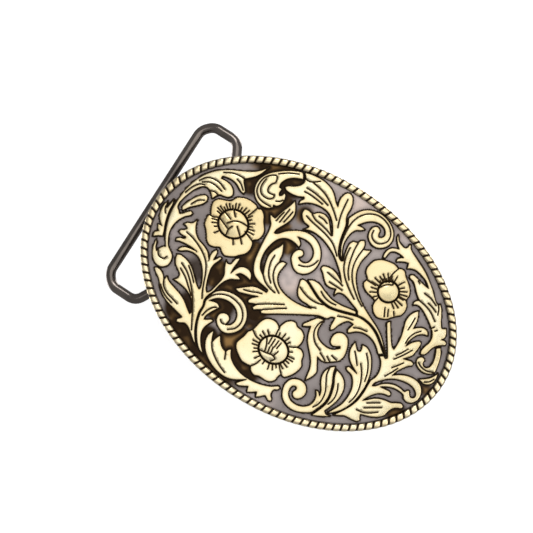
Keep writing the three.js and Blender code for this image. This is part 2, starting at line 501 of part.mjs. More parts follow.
    [-31.6, 1.9, 1], [-31.2, 0.6], [-30.2, -1.0], [-28.6, -2.2], [-26.6, -2.8], [-25.0, -3.6],
    [-24.1, -4.6], [-23.6, -5.2, 1], [-24.0, -4.0], [-23.9, -2.7], [-23.4, -1.9],
    [-22.9, -2.3], [-22.8, -3.4], [-22.7, -4.5, 1], [-22.2, -3.8], [-21.7, -3.0],
    [-21.1, -3.0, 1], [-21.4, -4.0], [-21.9, -5.3], [-22.0, -6.8], [-21.6, -8.5],
    [-21.0, -10.2], [-20.3, -11.7], [-19.7, -12.3], [-19.2, -11.7], [-18.7, -9.8],
    [-18.3, -7.5], [-18.5, -6.0], [-19.3, -4.6], [-20.0, -2.8, 1], [-19.2, -3.3],
    [-18.5, -3.0], [-18.3, -2.0], [-18.1, -1.2], [-17.2, -0.5, 1], [-17.2, -1.9],
    [-17.3, -3.4], [-17.2, -4.9, 1], [-16.8, -3.6], [-16.1, -2.4], [-15.0, -1.8],
    [-13.6, -1.8], [-12.6, -2.5], [-12.0, -3.9, 1], [-12.9, -3.7], [-14.2, -3.6],
    [-15.2, -3.8], [-15.9, -4.6, 1], [-15.1, -4.6], [-14.2, -5.0, 1], [-15.1, -5.6],
    [-16.4, -6.3], [-17.4, -7.6], [-18.0, -9.2], [-18.4, -11.2, 1], [-19.0, -12.7],
    [-19.2, -14.3, 1], [-18.75, -15.6], [-18.7, -17.5], [-18.0, -20.0], [-16.9, -22.3],
    [-15.6, -24.1], [-14.6, -25.1, 1], [-16.0, -24.4], [-17.8, -23.0], [-19.0, -22.2],
    [-20.2, -21.9], [-21.3, -22.5], [-22.2, -22.7], [-22.4, -22.0], [-21.8, -21.3],
    [-21.6, -20.9, 1], [-24.0, -20.4], [-27.0, -19.7], [-29.0, -18.7], [-30.5, -17.5],
    [-31.9, -16.0], [-33.6, -14.9], [-34.3, -14.2], [-33.7, -13.8], [-32.5, -13.9],
    [-31.3, -14.6], [-30.6, -15.5, 1], [-30.4, -14.3, 1], [-29.4, -15.0], [-27.6, -15.6],
    [-25.4, -16.2], [-23.4, -17.1], [-21.6, -18.4], [-20.4, -19.2, 1], [-20.3, -18.6],
    [-21.0, -17.1], [-22.4, -15.6], [-24.4, -14.6], [-26.6, -14.2], [-28.6, -14.1, 1],
    [-27.9, -13.2], [-28.0, -12.2], [-28.9, -11.5], [-30.1, -10.7], [-31.0, -9.4],
    [-31.3, -8.3], [-30.5, -7.9], [-28.4, -8.1], [-26.4, -9.0], [-24.6, -10.5],
    [-22.9, -12.0], [-21.8, -12.7, 1], [-21.7, -12.1], [-22.3, -10.5], [-23.3, -8.8],
    [-24.7, -7.1], [-26.4, -6.0], [-28.2, -5.8], [-29.8, -6.3], [-30.9, -7.1],
    [-31.7, -7.3, 1], [-31.6, -6.6], [-30.9, -5.8], [-29.5, -5.3], [-27.4, -5.0, 1],
    [-29.0, -4.85], [-31.0, -4.95], [-32.5, -5.2], [-33.4, -5.6, 1], [-33.6, -5.0],
    [-33.0, -4.4], [-31.8, -3.9], [-31.7, -3.4, 1], [-33.0, -3.5], [-33.9, -3.3, 1],
    [-33.9, -2.6], [-33.1, -2.1], [-32.6, -1.4, 1], [-33.3, -1.0], [-34.0, -1.0, 1],
    [-33.5, -0.2], [-32.3, 0.5], [-31.9, 1.3],
  ],
  scroll_lower_left: [
    [-18.0, -11.0, 1], [-16.8, -9.9], [-15.0, -9.2], [-13.0, -8.9], [-11.0, -9.2],
    [-9.2, -10.2], [-7.9, -11.8], [-7.3, -13.6], [-7.4, -15.5], [-8.3, -17.1],
    [-9.8, -18.3], [-11.4, -18.5], [-13.0, -17.8], [-14.0, -16.6], [-14.1, -15.2],
    [-13.1, -14.3], [-12.0, -14.2], [-11.2, -14.9], [-11.2, -15.9], [-11.4, -16.7, 1],
    [-10.4, -16.1], [-9.8, -14.7], [-10.2, -13.0], [-11.5, -11.8], [-13.2, -11.3],
    [-15.2, -11.5], [-16.9, -12.4], [-18.0, -13.7, 1], [-16.9, -13.3], [-15.8, -13.2],
    [-14.9, -13.7], [-15.4, -14.7], [-16.2, -16.2], [-16.7, -17.6], [-16.6, -18.4, 1],
    [-15.9, -18.0], [-15.0, -17.4], [-14.4, -17.5], [-14.8, -18.4], [-15.4, -20.0],
    [-15.3, -21.6], [-14.5, -23.2], [-13.3, -24.7], [-12.0, -25.9, 1], [-13.2, -25.6],
    [-14.0, -25.1, 1], [-15.1, -24.0], [-16.4, -22.2], [-17.6, -19.9], [-18.3, -17.4],
    [-18.4, -15.6], [-18.8, -14.2], [-18.6, -12.6],
  ],
  rim_leaf_bottom: [
    [-13.0, -19.4, 1], [-13.6, -20.8], [-13.5, -22.4], [-12.6, -24.2], [-11.2, -25.6],
    [-9.4, -26.7], [-7.2, -27.5], [-4.8, -27.8], [-3.0, -27.5], [-1.3, -26.7], [0.6, -25.4, 1],
    [-0.7, -26.9], [-1.2, -27.6], [-0.5, -27.8], [0.7, -27.3], [1.9, -26.6, 1], [2.1, -27.3],
    [2.4, -28.0, 1], [3.3, -27.5], [4.5, -26.6, 1], [4.7, -27.2], [4.9, -27.9, 1],
    [5.8, -27.2], [6.8, -26.3], [7.4, -26.6], [8.1, -26.9], [8.7, -26.6], [8.6, -26.0],
    [8.0, -25.5], [7.7, -24.7], [7.9, -23.8], [8.7, -23.3], [8.9, -22.6], [8.4, -22.4],
    [6.9, -23.4], [5.0, -24.2], [2.5, -24.8], [0.0, -24.95], [-2.2, -24.6], [-4.2, -23.8],
    [-5.6, -22.8], [-6.3, -21.8], [-6.7, -21.0, 1], [-7.3, -21.5], [-7.6, -22.3, 1],
    [-8.8, -21.9], [-9.9, -21.0], [-10.7, -19.9], [-11.0, -19.6, 1], [-11.5, -20.7],
    [-11.8, -22.3, 1], [-12.4, -21.0],
  ],
};

// The ground shows through these cut-outs, which lie wholly inside their overlay.
const CUT_OUTS = {
  right_stem: [
    [29.0, -9.1], [29.9, -8.0], [31.3, -6.95], [33.0, -6.3], [34.6, -6.2], [36.0, -6.4],
    [36.4, -5.8], [36.9, -5.6], [37.5, -6.4], [38.2, -6.8], [38.9, -6.3], [38.8, -5.5],
    [37.7, -4.6], [36.0, -4.25], [34.0, -4.5], [32.0, -5.2], [30.3, -6.4], [29.1, -7.7],
    [28.3, -8.8], [28.2, -9.6],
  ],
};

for (const [name, points] of Object.entries(OVERLAYS)) {
  const cutOuts = CUT_OUTS[name] ? [smoothOutline(CUT_OUTS[name])] : [];
  const piece = slab(smoothOutline(points), cutOuts, OVERLAY_BACK_Y, OVERLAY_THICKNESS);
  addNode(name, bowed(piece), brass());
}

// ---- Flowers ----------------------------------------------------------------------------

const FLOWERS = {
  flower_left: {
    centre: [-23.4, 5.8],
    boss: [3.9, 3.6],
    petals: [
      [-26.2, 12.0], [-24.5, 12.9], [-22.5, 13.15], [-20.9, 12.9], [-20.3, 12.4, 1],
      [-19.3, 12.7], [-18.1, 11.9], [-17.2, 10.4], [-16.0, 8.9], [-15.6, 7.4], [-16.0, 5.9],
      [-17.0, 4.9, 1], [-16.6, 4.2], [-16.3, 2.8], [-16.7, 1.2], [-17.8, 0.0], [-18.6, -0.9],
      [-19.5, -1.5], [-21.0, -2.1], [-22.2, -1.6], [-23.0, -1.0, 1], [-24.2, -1.6],
      [-25.7, -1.9], [-27.0, -1.1], [-27.7, -0.1], [-28.5, 0.9], [-29.5, 1.9], [-29.9, 3.2],
      [-29.9, 4.3], [-29.5, 4.7, 1], [-30.0, 5.6], [-30.6, 7.0], [-30.7, 8.0], [-30.1, 9.0],
      [-29.1, 9.5], [-27.9, 9.95], [-27.0, 10.5], [-26.6, 11.3],
    ],
  },
  flower_bottom: {
    centre: [2.3, -15.4],
    boss: [3.9, 3.4],
    petals: [
      [0.6, -9.2], [1.2, -7.7], [2.4, -6.7], [3.4, -6.6], [4.2, -7.2, 1], [5.6, -7.4],
      [6.8, -8.2], [7.3, -9.6], [7.2, -11.0], [6.9, -11.7, 1], [8.2, -11.6], [9.3, -12.4],
      [9.8, -13.9], [10.5, -15.0], [10.3, -16.8], [9.4, -18.6], [8.2, -19.8], [7.2, -19.6, 1],
      [6.9, -20.6], [6.8, -21.6], [6.0, -22.6], [4.8, -23.0], [2.8, -23.0, 1], [1.6, -23.4],
      [0.3, -22.9], [-0.4, -22.0, 1], [-1.3, -22.1], [-2.8, -22.1], [-4.2, -21.4],
      [-5.8, -20.2], [-6.5, -18.8], [-6.1, -17.4], [-5.8, -16.3], [-5.6, -15.0],
      [-4.9, -14.0, 1], [-4.6, -12.8], [-4.3, -11.2], [-3.6, -9.9], [-2.4, -9.2],
      [-1.0, -9.1], [0.1, -9.6], [0.5, -10.1, 1],
    ],
  },
  flower_right: {
    centre: [18.8, 12.6],
    boss: [2.7, 2.7],
    petals: [
      [11.1, 15.8], [11.6, 17.3], [13.0, 18.5], [14.5, 19.0], [16.3, 19.3], [17.8, 18.9, 1],
      [18.5, 19.3], [19.5, 19.2], [20.4, 18.3], [22.0, 17.1], [23.2, 15.9], [23.8, 14.6],
      [23.8, 13.2, 1], [24.6, 12.3], [25.0, 10.8], [24.7, 9.3], [23.7, 8.3], [22.9, 7.4, 1],
      [22.3, 6.6], [21.0, 5.9], [19.8, 5.6], [18.4, 6.2], [17.4, 7.5], [17.1, 8.8, 1],
      [16.0, 9.2], [14.4, 9.5], [13.0, 10.2], [12.3, 11.2], [12.6, 12.4, 1], [11.4, 13.6],
      [11.0, 14.7],
    ],
  },
};
const BOSS_SIDES = 20;

for (const [name, flower] of Object.entries(FLOWERS)) {
  const ring = (rx, rz) => oval(rx * SCALE_X, rz * SCALE_Z, BOSS_SIDES).map(
    (p) => new THREE.Vector2(p.x + flower.centre[0] * SCALE_X, p.y + flower.centre[1] * SCALE_Z),
  );
  const [rx, rz] = flower.boss;
  const petals = slab(
    smoothOutline(flower.petals),
    [ring(rx + SOLDER_GAP / 2, rz + SOLDER_GAP / 2)],
    OVERLAY_BACK_Y,
    OVERLAY_THICKNESS,
  );
  const boss = slab(
    ring(rx - SOLDER_GAP / 2 / SCALE_X, rz - SOLDER_GAP / 2 / SCALE_Z),
    [],
    OVERLAY_BACK_Y,
    OVERLAY_THICKNESS + BOSS_RISE,
  );
  addNode(name, bowed(petals), brass());
  addNode(`${name}_boss`, bowed(boss), brass());
}

// ---- Hinge barrel -----------------------------------------------------------------------

const wireRadius = WIRE_DIAMETER / 2;
const boreRadius = wireRadius + HINGE_BORE_CLEARANCE;
const barrelRadius = boreRadius + BARREL_WALL;
const hingeX = HINGE_X * SCALE_X;
const hingeY = bow(hingeX) + SOLDER_GAP + BARREL_FOOT_THICKNESS + barrelRadius;

// The section is a round tube standing on a foot that follows the plate's back.
function barrel() {
  const halfFoot = BARREL_FOOT_WIDTH / 2;
  const left = hingeX - halfFoot;
  const right = hingeX + halfFoot;
  const folds = FOLDS.map((fold) => -fold).filter((x) => x > left && x < right);
  const footXs = [right, ...folds, left];
  const section = new THREE.Shape();
  const back = (x) => bow(x) + SOLDER_GAP;
  const landing = THREE.MathUtils.degToRad(35);
  section.moveTo(left, back(left));
  section.lineTo(left, back(left) + BARREL_FOOT_THICKNESS);
  for (let i = 0; i <= BARREL_SIDES; i += 1) {
    const turn = Math.PI + landing - ((Math.PI + 2 * landing) * i) / BARREL_SIDES;
    section.lineTo(hingeX + barrelRadius * Math.cos(turn), hingeY + barrelRadius * Math.sin(turn));
  }
  section.lineTo(right, back(right) + BARREL_FOOT_THICKNESS);
  for (const x of footXs) {
    section.lineTo(x, back(x));
  }
  const bore = oval(boreRadius, boreRadius, BARREL_SIDES).map(
    (p) => new THREE.Vector2(p.x + hingeX, p.y + hingeY),
  );
  section.holes.push(new THREE.Path(bore));
  const geometry = new THREE.ExtrudeGeometry(section, {
    depth: BARREL_LENGTH,
    steps: 1,
    bevelEnabled: false,
  });
  geometry.translate(0, 0, -BARREL_LENGTH / 2);
  return geometry;
}
addNode('hinge_barrel', barrel(), darkNickel());

// ---- Wire loop --------------------------------------------------------------------------

// Corner points of the wire's centre line: out from the hinge axis, and up from the middle.
function loopCorners() {
  const endZ = BARREL_LENGTH / 2 - PIN_DEPTH;
  const elbowZ = BARREL_LENGTH / 2 + PIN_SHOULDER;
  const runZ = HALF_STRAP_SLOT + wireRadius;
  const half = [
    [0, endZ],
    [0, elbowZ],
    [LOOP_BEND_REACH, runZ],
    [LOOP_REACH - LOOP_CORNER, runZ],
    [LOOP_REACH, runZ - LOOP_CORNER],
  ];
  const mirrored = half.slice().reverse().map(([out, up]) => [out, -up]);
  return [...half, ...mirrored];
}

// Straight runs joined by short curves at each corner.
function wirePath() {
  const place = ([out, up]) => new THREE.Vector3(
    hingeX - out * Math.cos(LOOP_TILT),
    hingeY + out * Math.sin(LOOP_TILT),
    up,
  );
  const corners = loopCorners().map(place);
  const path = new THREE.CurvePath();
  let from = corners[0];
  for (let i = 1; i < corners.length - 1; i += 1) {
    const corner = corners[i];
    const before = corner.distanceTo(corners[i - 1]);
    const after = corner.distanceTo(corners[i + 1]);
    const ease = Math.min(WIRE_DIAMETER * 0.8, before * 0.45, after * 0.45);
    const start = corner.clone().lerp(corners[i - 1], ease / before);
    const end = corner.clone().lerp(corners[i + 1], ease / after);
    path.add(new THREE.LineCurve3(from, start));
    path.add(new THREE.QuadraticBezierCurve3(start, corner, end));
    from = end;
  }
  path.add(new THREE.LineCurve3(from, corners[corners.length - 1]));
  return path;
}

const wireSection = new THREE.Shape(oval(wireRadius, wireRadius, WIRE_SIDES));
const wire = new THREE.ExtrudeGeometry(wireSection, {
  steps: WIRE_STEPS,
  bevelEnabled: false,
  extrudePath: wirePath(),
});
addNode('loop', wire, darkNickel());

// ---- Hook -------------------------------------------------------------------------------

// A round foot on the plate's back with a leaning post that ends in a rounded head.
function hook() {
  const hookX = HOOK_X * SCALE_X;
  const postRadius = HOOK_POST_DIAMETER / 2;
  const headRadius = HOOK_HEAD_DIAMETER / 2;
  const slope = Math.atan2(bow(hookX + 1) - bow(hookX - 1), 2);
  const foot = new THREE.CylinderGeometry(
    HOOK_FOOT_DIAMETER / 2 - 0.3,
    HOOK_FOOT_DIAMETER / 2,
    HOOK_FOOT_THICKNESS,
    HOOK_SIDES,
  );
  foot.translate(0, HOOK_FOOT_THICKNESS / 2, 0);
  foot.rotateZ(slope);
  const neckY = HOOK_HEIGHT - headRadius * 1.2;
  const profile = [
    new THREE.Vector2(0, HOOK_FOOT_THICKNESS / 2),
    new THREE.Vector2(postRadius, HOOK_FOOT_THICKNESS / 2),
    new THREE.Vector2(postRadius * 0.9, neckY * 0.6),
    new THREE.Vector2(postRadius * 0.95, neckY),
    new THREE.Vector2(headRadius, neckY + headRadius * 0.4),
    new THREE.Vector2(headRadius * 0.92, neckY + headRadius * 0.8),
    new THREE.Vector2(headRadius * 0.55, HOOK_HEIGHT - headRadius * 0.08),
    new THREE.Vector2(0, HOOK_HEIGHT),
  ];
  const post = new THREE.LatheGeometry(profile, HOOK_SIDES);
  post.rotateZ(-HOOK_LEAN);
  const solid = solidOf(foot).add(solidOf(post));
  const geometry = geometryOf(solid);
  geometry.translate(hookX, bow(hookX) + SOLDER_GAP, 0);
  return geometry;
}
addNode('hook', hook(), darkNickel());

export default buckle;
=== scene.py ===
import math

import bmesh
import bpy
import numpy as np
from mathutils import Matrix, Vector
from mathutils.geometry import delaunay_2d_cdt
from mathutils.kdtree import KDTree


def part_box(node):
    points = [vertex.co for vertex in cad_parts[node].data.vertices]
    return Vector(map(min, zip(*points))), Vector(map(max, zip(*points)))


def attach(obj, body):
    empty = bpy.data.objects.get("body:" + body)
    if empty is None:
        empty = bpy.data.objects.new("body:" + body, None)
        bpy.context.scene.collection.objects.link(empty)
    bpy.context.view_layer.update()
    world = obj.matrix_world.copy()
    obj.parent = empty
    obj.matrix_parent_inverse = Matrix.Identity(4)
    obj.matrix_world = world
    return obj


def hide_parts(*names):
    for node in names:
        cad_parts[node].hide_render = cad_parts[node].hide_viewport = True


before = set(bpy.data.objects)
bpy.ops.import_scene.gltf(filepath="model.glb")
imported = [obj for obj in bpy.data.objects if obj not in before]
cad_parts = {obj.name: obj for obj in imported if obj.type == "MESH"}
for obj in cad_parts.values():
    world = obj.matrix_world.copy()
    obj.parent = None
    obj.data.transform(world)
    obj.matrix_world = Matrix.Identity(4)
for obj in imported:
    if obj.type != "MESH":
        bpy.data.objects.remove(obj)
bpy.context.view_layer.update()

# The oval belt buckle: bowed plate, rope edge, raised scrollwork with engraved veins, three
# flowers, and on the back a hinge barrel, a wire strap loop and a hook. Sizes are millimetres
# until a piece is set down in metres.
MM = 0.001
BOW_RADIUS = 220.0
BOW_START = 5.0 ** 2 / (2 * BOW_RADIUS)
FIELD_Y = -2.0
RIM_Y = -1.2
RELIEF_Y = -3.1
ROPE_RADIUS = 0.95
ROPE_GAP = 0.3
ROPE_LEAN = 0.36
ROPE_PITCH = 2.04
SEAT_WIDTH = 1.8

plate_low, plate_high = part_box("base_plate")
HALF_LENGTH = (plate_high[0] - plate_low[0]) / 2 / MM
HALF_HEIGHT = (plate_high[2] - plate_low[2]) / 2 / MM
rope_low, rope_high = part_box("rope_border")
ROPE_HALF_LENGTH = (rope_high[0] - rope_low[0]) / 2 / MM - ROPE_RADIUS
ROPE_HALF_HEIGHT = (rope_high[2] - rope_low[2]) / 2 / MM - ROPE_RADIUS

RELIEF_PIECES = [
    "rim_leaf_left", "bud_left", "rim_strip_left", "scroll_upper_left", "main_stem", "scroll_top",
    "leaf_centre_upper", "centre_vine", "comma_scroll", "scroll_lower_right", "leaf_lower_right",
    "leaf_right_large", "right_stem", "leaf_rim_lower_right", "hook_curl_right", "rim_leaf_right",
    "left_vine", "scroll_lower_left", "rim_leaf_bottom", "flower_left", "flower_bottom",
    "flower_right",
]
BOSSES = ["flower_left_boss", "flower_bottom_boss", "flower_right_boss"]

# Engraved veins, as points along each graver's stroke: along the oval, and up it.
VEINS = [
    [(-27.2, 17.0), (-28.8, 16.9), (-30.6, 16.5), (-32.4, 15.5)],
    [(-28.6, 15.8), (-27.3, 15.4), (-25.9, 14.3)],
    [(-36.6, 10.5), (-35.5, 12.0), (-33.8, 12.7), (-31.8, 12.7), (-29.9, 12.0)],
    [(-35.8, 10.5), (-34.3, 11.4), (-32.5, 11.6), (-30.4, 11.2)],
    [(-32.8, 9.8), (-31.6, 10.1), (-30.5, 9.9)],
    [(-38.0, 6.0), (-37.2, 8.2), (-36.1, 9.7), (-34.8, 10.3)],
    [(-35.9, -9.9), (-35.2, -10.9), (-34.2, -11.2), (-33.4, -10.9), (-33.2, -10.3)],
    [(-35.1, 4.4), (-34.2, 6.0), (-32.8, 6.9)],
    [(-40.3, 0.4), (-39.9, -0.5), (-39.4, -1.1)],
    [(-17.9, 14.6), (-19.8, 14.5), (-21.6, 14.9), (-23.0, 16.2), (-23.4, 18.0), (-23.2, 19.6),
     (-22.4, 20.9), (-21.3, 21.8), (-20.6, 21.9), (-20.2, 21.2), (-20.1, 20.3), (-20.7, 19.4),
     (-20.9, 18.4), (-20.5, 17.5), (-19.6, 17.3), (-18.6, 17.6)],
    [(-18.6, 17.6), (-18.5, 16.8), (-19.2, 16.0), (-20.4, 15.8), (-21.7, 16.2), (-22.5, 17.3),
     (-22.7, 18.7), (-22.5, 20.0)],
    [(-20.5, 22.7), (-18.5, 24.2), (-16.3, 25.3)],
    [(-17.3, 16.5), (-16.6, 16.9), (-16.1, 17.6)],
    [(-15.2, 26.3), (-14.2, 25.4), (-13.1, 25.2), (-12.0, 25.7), (-10.7, 26.7)],
    [(-12.0, 25.5), (-10.0, 25.2), (-8.0, 24.7), (-5.8, 23.6), (-3.8, 22.2), (-2.0, 20.7)],
    [(-12.7, 23.5), (-10.5, 23.5), (-8.2, 23.2), (-6.0, 22.7)],
    [(-12.6, 22.4), (-11.0, 22.5), (-9.2, 22.4), (-7.4, 22.2)],
    [(-2.4, 26.6), (-2.2, 24.8), (-1.8, 22.5), (-1.2, 20.5), (-0.7, 19.2)],
    [(-7.9, 18.6), (-6.5, 17.9), (-4.5, 17.6), (-2.5, 17.2), (-1.0, 16.7)],
    [(-6.0, 19.1), (-4.8, 19.1), (-3.6, 18.7)],
    [(-8.9, 17.5), (-7.0, 17.0), (-4.5, 16.6), (-2.0, 16.1), (0.2, 15.3), (2.0, 14.0),
     (3.0, 13.1)],
    [(4.6, 16.7), (4.8, 15.0), (5.3, 13.2), (6.1, 11.5), (7.5, 9.8), (9.2, 8.4), (11.0, 7.2),
     (12.4, 6.4)],
    [(5.7, 18.8), (5.8, 17.0), (6.2, 14.9), (6.8, 12.8), (7.7, 11.0), (8.8, 9.7)],
    [(7.6, 18.0), (7.5, 15.8), (7.7, 13.8), (8.3, 12.0), (9.3, 10.4), (10.6, 9.0), (12.2, 7.7),
     (13.6, 6.7), (15.2, 5.9)],
    [(3.4, 8.4), (5.2, 8.1), (7.0, 7.9), (8.1, 7.6)],
    [(4.9, 6.6), (6.8, 6.6), (8.7, 6.6)],
    [(3.4, 13.6), (2.3, 16.0), (1.75, 18.5), (1.5, 21.0), (1.8, 23.2), (2.8, 25.2), (4.5, 26.7),
     (6.6, 27.4), (8.8, 27.1), (10.6, 26.1), (11.6, 24.7), (11.7, 23.1), (10.9, 21.9),
     (9.6, 21.3), (8.3, 21.6), (7.5, 22.4), (7.3, 23.4)],
    [(4.4, 3.5), (6.0, 2.7), (7.8, 2.4), (9.4, 2.6)],
    [(-0.6, 1.5), (1.2, 0.8), (3.2, 0.4), (5.2, 0.5), (6.8, 1.0)],
    [(3.5, -1.3), (4.6, -1.2), (5.6, -0.8)],
    [(-13.4, 16.6), (-13.6, 14.8), (-13.8, 12.6)],
    [(-12.4, 16.4), (-12.6, 15.0), (-12.9, 13.2)],
    [(-14.2, 15.2), (-14.5, 14.0), (-14.7, 12.5)],
    [(-0.4, 9.6), (-0.9, 8.0), (-2.0, 6.7), (-3.7, 6.0)],
    [(-10.0, -1.0), (-8.7, -2.1), (-7.0, -2.8), (-5.3, -3.1)],
    [(-10.3, 4.7), (-10.3, 3.2), (-9.8, 1.4), (-8.9, -0.2), (-7.4, -1.6)],
    [(-8.4, 4.0), (-8.6, 2.4), (-8.0, 0.5), (-6.8, -1.0), (-5.4, -2.0), (-4.2, -2.7)],
    [(-12.2, -6.7), (-10.5, -6.2), (-9.0, -5.5), (-7.8, -5.1)],
    [(-1.6, -4.4), (-3.4, -5.4), (-5.2, -6.5), (-7.4, -8.0)],
    [(-0.6, -4.9), (-2.4, -6.1), (-4.0, -7.3), (-5.4, -8.3)],
    [(16.3, 0.2), (17.8, 0.9), (19.6, 1.2)],
    [(11.4, 0.5), (13.2, 1.3), (14.9, 1.7)],
    [(9.1, -2.2), (8.4, -3.6), (8.3, -5.4), (9.0, -7.0), (10.3, -8.3), (12.2, -9.1)],
    [(12.9, -9.8), (13.8, -10.2), (14.7, -10.7)],
    [(14.6, -9.5), (15.4, -10.0), (16.0, -10.3)],
    [(15.6, -8.7), (16.4, -8.9), (17.1, -9.0)],
    [(16.7, -11.5), (17.0, -13.4), (18.0, -15.3), (19.0, -17.2), (19.4, -19.2), (19.2, -20.9),
     (18.5, -22.2)],
    [(20.7, -13.9), (21.4, -15.3), (21.8, -17.0), (21.7, -18.4), (21.3, -19.6)],
    [(22.7, -3.6), (24.2, -5.3), (25.4, -7.5), (26.0, -9.6)],
    [(22.7, -6.4), (23.9, -7.9), (25.0, -9.8), (25.8, -12.0), (26.0, -14.2), (25.6, -16.2)],
    [(19.9, -4.7), (21.0, -5.9), (22.2, -7.3)],
    [(28.1, 10.6), (28.2, 9.0), (28.2, 7.2)],
    [(31.2, 8.7), (30.1, 7.3), (29.5, 5.6), (29.5, 4.0)],
    [(30.8, 3.0), (30.0, 1.4), (29.2, 0.2)],
    [(31.9, 3.4), (31.0, 1.7), (30.0, 0.1), (29.2, -1.0)],
    [(31.7, -0.6), (30.9, -1.8), (30.0, -3.0)],
    [(31.3, -2.4), (30.5, -4.2), (29.7, -5.7)],
    [(29.6, -13.9), (30.8, -13.1), (32.2, -12.2)],
    [(29.5, -15.4), (31.2, -14.3), (33.2, -13.0)],
    [(28.2, -16.8), (30.2, -16.4), (31.6, -15.6), (33.0, -14.5)],
    [(23.7, 19.0), (24.4, 18.7)],
    [(26.9, 17.2), (28.8, 17.0), (30.9, 16.2)],
    [(29.0, 15.6), (30.4, 15.3), (31.7, 14.8)],
    [(31.4, 16.6), (32.0, 15.7), (32.5, 14.5)],
    [(26.7, 15.0), (28.6, 14.7), (30.5, 14.1), (32.7, 12.7)],
    [(33.5, 11.4), (33.1, 10.8)],
    [(34.6, 11.1), (34.2, 10.6)],
    [(34.9, 1.7), (36.2, 1.1), (37.8, 1.0), (39.5, 1.6)],
    [(40.6, 0.2), (39.9, -1.0), (38.9, -1.7)],
    [(-32.1, -2.3), (-30.0, -2.7), (-27.8, -3.5), (-25.6, -4.7), (-23.9, -6.2), (-22.6, -8.4),
     (-21.6, -10.8), (-20.6, -13.0), (-19.9, -14.2)],
    [(-27.2, -9.1), (-25.5, -10.4), (-23.8, -12.0)],
    [(-29.1, -9.5), (-26.8, -10.6), (-24.6, -12.4), (-22.6, -14.6), (-20.8, -17.2),
     (-19.3, -19.8), (-17.8, -22.4)],
    [(-28.6, -10.8), (-26.4, -12.0), (-24.4, -13.6), (-22.6, -15.1)],
    [(-30.6, -15.5), (-29.8, -16.8), (-28.0, -17.9), (-26.0, -18.4), (-24.4, -18.8)],
    [(-30.6, -17.0), (-29.0, -18.2), (-27.6, -18.9), (-25.9, -19.3)],
    [(-18.9, -14.0), (-18.1, -12.2), (-16.6, -10.9), (-14.6, -10.1), (-12.6, -10.1),
     (-10.4, -10.8), (-8.9, -12.3), (-8.3, -14.2), (-8.8, -16.1), (-10.1, -17.3)],
    [(-13.1, -16.2), (-12.4, -16.7), (-11.7, -16.7)],
    [(-17.5, -17.7), (-17.2, -16.2), (-16.4, -14.8), (-15.6, -14.2)],
    [(-11.8, -22.2), (-10.8, -23.6), (-9.0, -25.0), (-7.0, -26.1), (-4.9, -26.9)],
    [(-7.6, -22.3), (-7.2, -23.1), (-6.8, -24.0)],
    [(-20.4, 12.5), (-20.9, 10.9), (-21.3, 9.6)],
    [(-17.0, 4.8), (-18.4, 5.3), (-19.8, 5.8)],
    [(-29.7, 4.6), (-28.7, 4.6), (-27.7, 5.1)],
    [(-24.8, 5.2), (-23.8, 6.4), (-22.4, 7.1), (-20.8, 7.3), (-19.6, 7.2)],
    [(-27.2, 5.3), (-25.6, 4.7), (-24.0, 4.1)],
    [(-23.3, 5.2), (-23.7, 4.0), (-23.5, 2.6)],
    [(-22.1, 5.7), (-20.5, 4.3), (-18.9, 2.7)],
    [(-25.2, 8.9), (-23.9, 7.6)],
    [(-26.7, 7.2), (-24.6, 6.5)],
    [(0.6, -10.0), (0.7, -11.4), (0.9, -12.3)],
    [(7.0, -11.6), (6.3, -12.1), (5.3, -12.6)],
    [(7.4, -19.7), (6.3, -18.6), (5.5, -17.7)],
    [(-0.4, -22.0), (0.4, -20.8), (0.9, -19.3)],
    [(-4.7, -14.0), (-3.2, -14.9), (-2.0, -15.1)],
    [(-0.8, -13.6), (0.0, -15.0), (0.6, -16.8)],
    [(0.3, -13.0), (0.4, -14.8)],
    [(1.2, -12.9), (1.2, -14.6)],
    [(2.2, -12.8), (2.1, -14.5)],
    [(3.0, -13.0), (2.8, -14.6)],
    [(1.1, -15.3), (1.4, -16.7)],
    [(1.9, -15.1), (2.2, -16.8)],
    [(3.5, -15.2), (3.1, -16.7)],
    [(-0.7, -17.3), (1.2, -17.0), (3.0, -16.7), (3.8, -17.2), (3.2, -18.2)],
    [(17.8, 18.8), (17.3, 17.2), (17.1, 15.4)],
    [(23.7, 13.2), (22.6, 13.1), (21.6, 13.2)],
    [(12.6, 12.2), (13.8, 12.2), (15.2, 12.2)],
    [(17.2, 8.8), (17.4, 9.8)],
    [(16.2, 12.0), (16.8, 13.1), (17.7, 14.0), (18.9, 14.7)],
    [(15.5, 13.8), (16.2, 13.4)],
    [(15.9, 14.6), (16.6, 14.0)],
    [(16.6, 15.1), (17.1, 14.3)],
    [(17.4, 15.4), (17.7, 14.7)],
    [(18.8, 14.7), (18.3, 15.5), (17.1, 15.7)],
    [(20.3, 8.6), (21.3, 6.7)],
    [(21.2, 8.8), (22.0, 7.2)],
    [(22.6, 9.1), (23.2, 8.3)],
]

# Short strokes round each flower's centre: centre, inner radii, outer radii, angles in degrees.
STAMEN_RINGS = [
    ((-23.4, 5.8), (4.0, 3.7), (5.6, 5.1),
     (48, 58, 35, 25, 15, 5, -5, 74, 84, 94, 104, 113, 122, 131, 140, 149, 157, 165, 173, 200,
      211, 223, 240, 300)),
    ((2.3, -15.4), (4.0, 3.5), (5.6, 4.9),
     (100, 86, 72, 60, 135, 150, 163, 188, 199, 211, 222, 240, 265, 284, 296, 308, 10, 1, 350,
      338, 325, 28)),
    ((18.8, 12.6), (3.1, 3.0), (4.9, 4.5),
     (4, -14, -28, -42, 20, 34, 48, 66, 92, 108, 122, 137, 150, 166, 182, 200, 216, 234)),
]

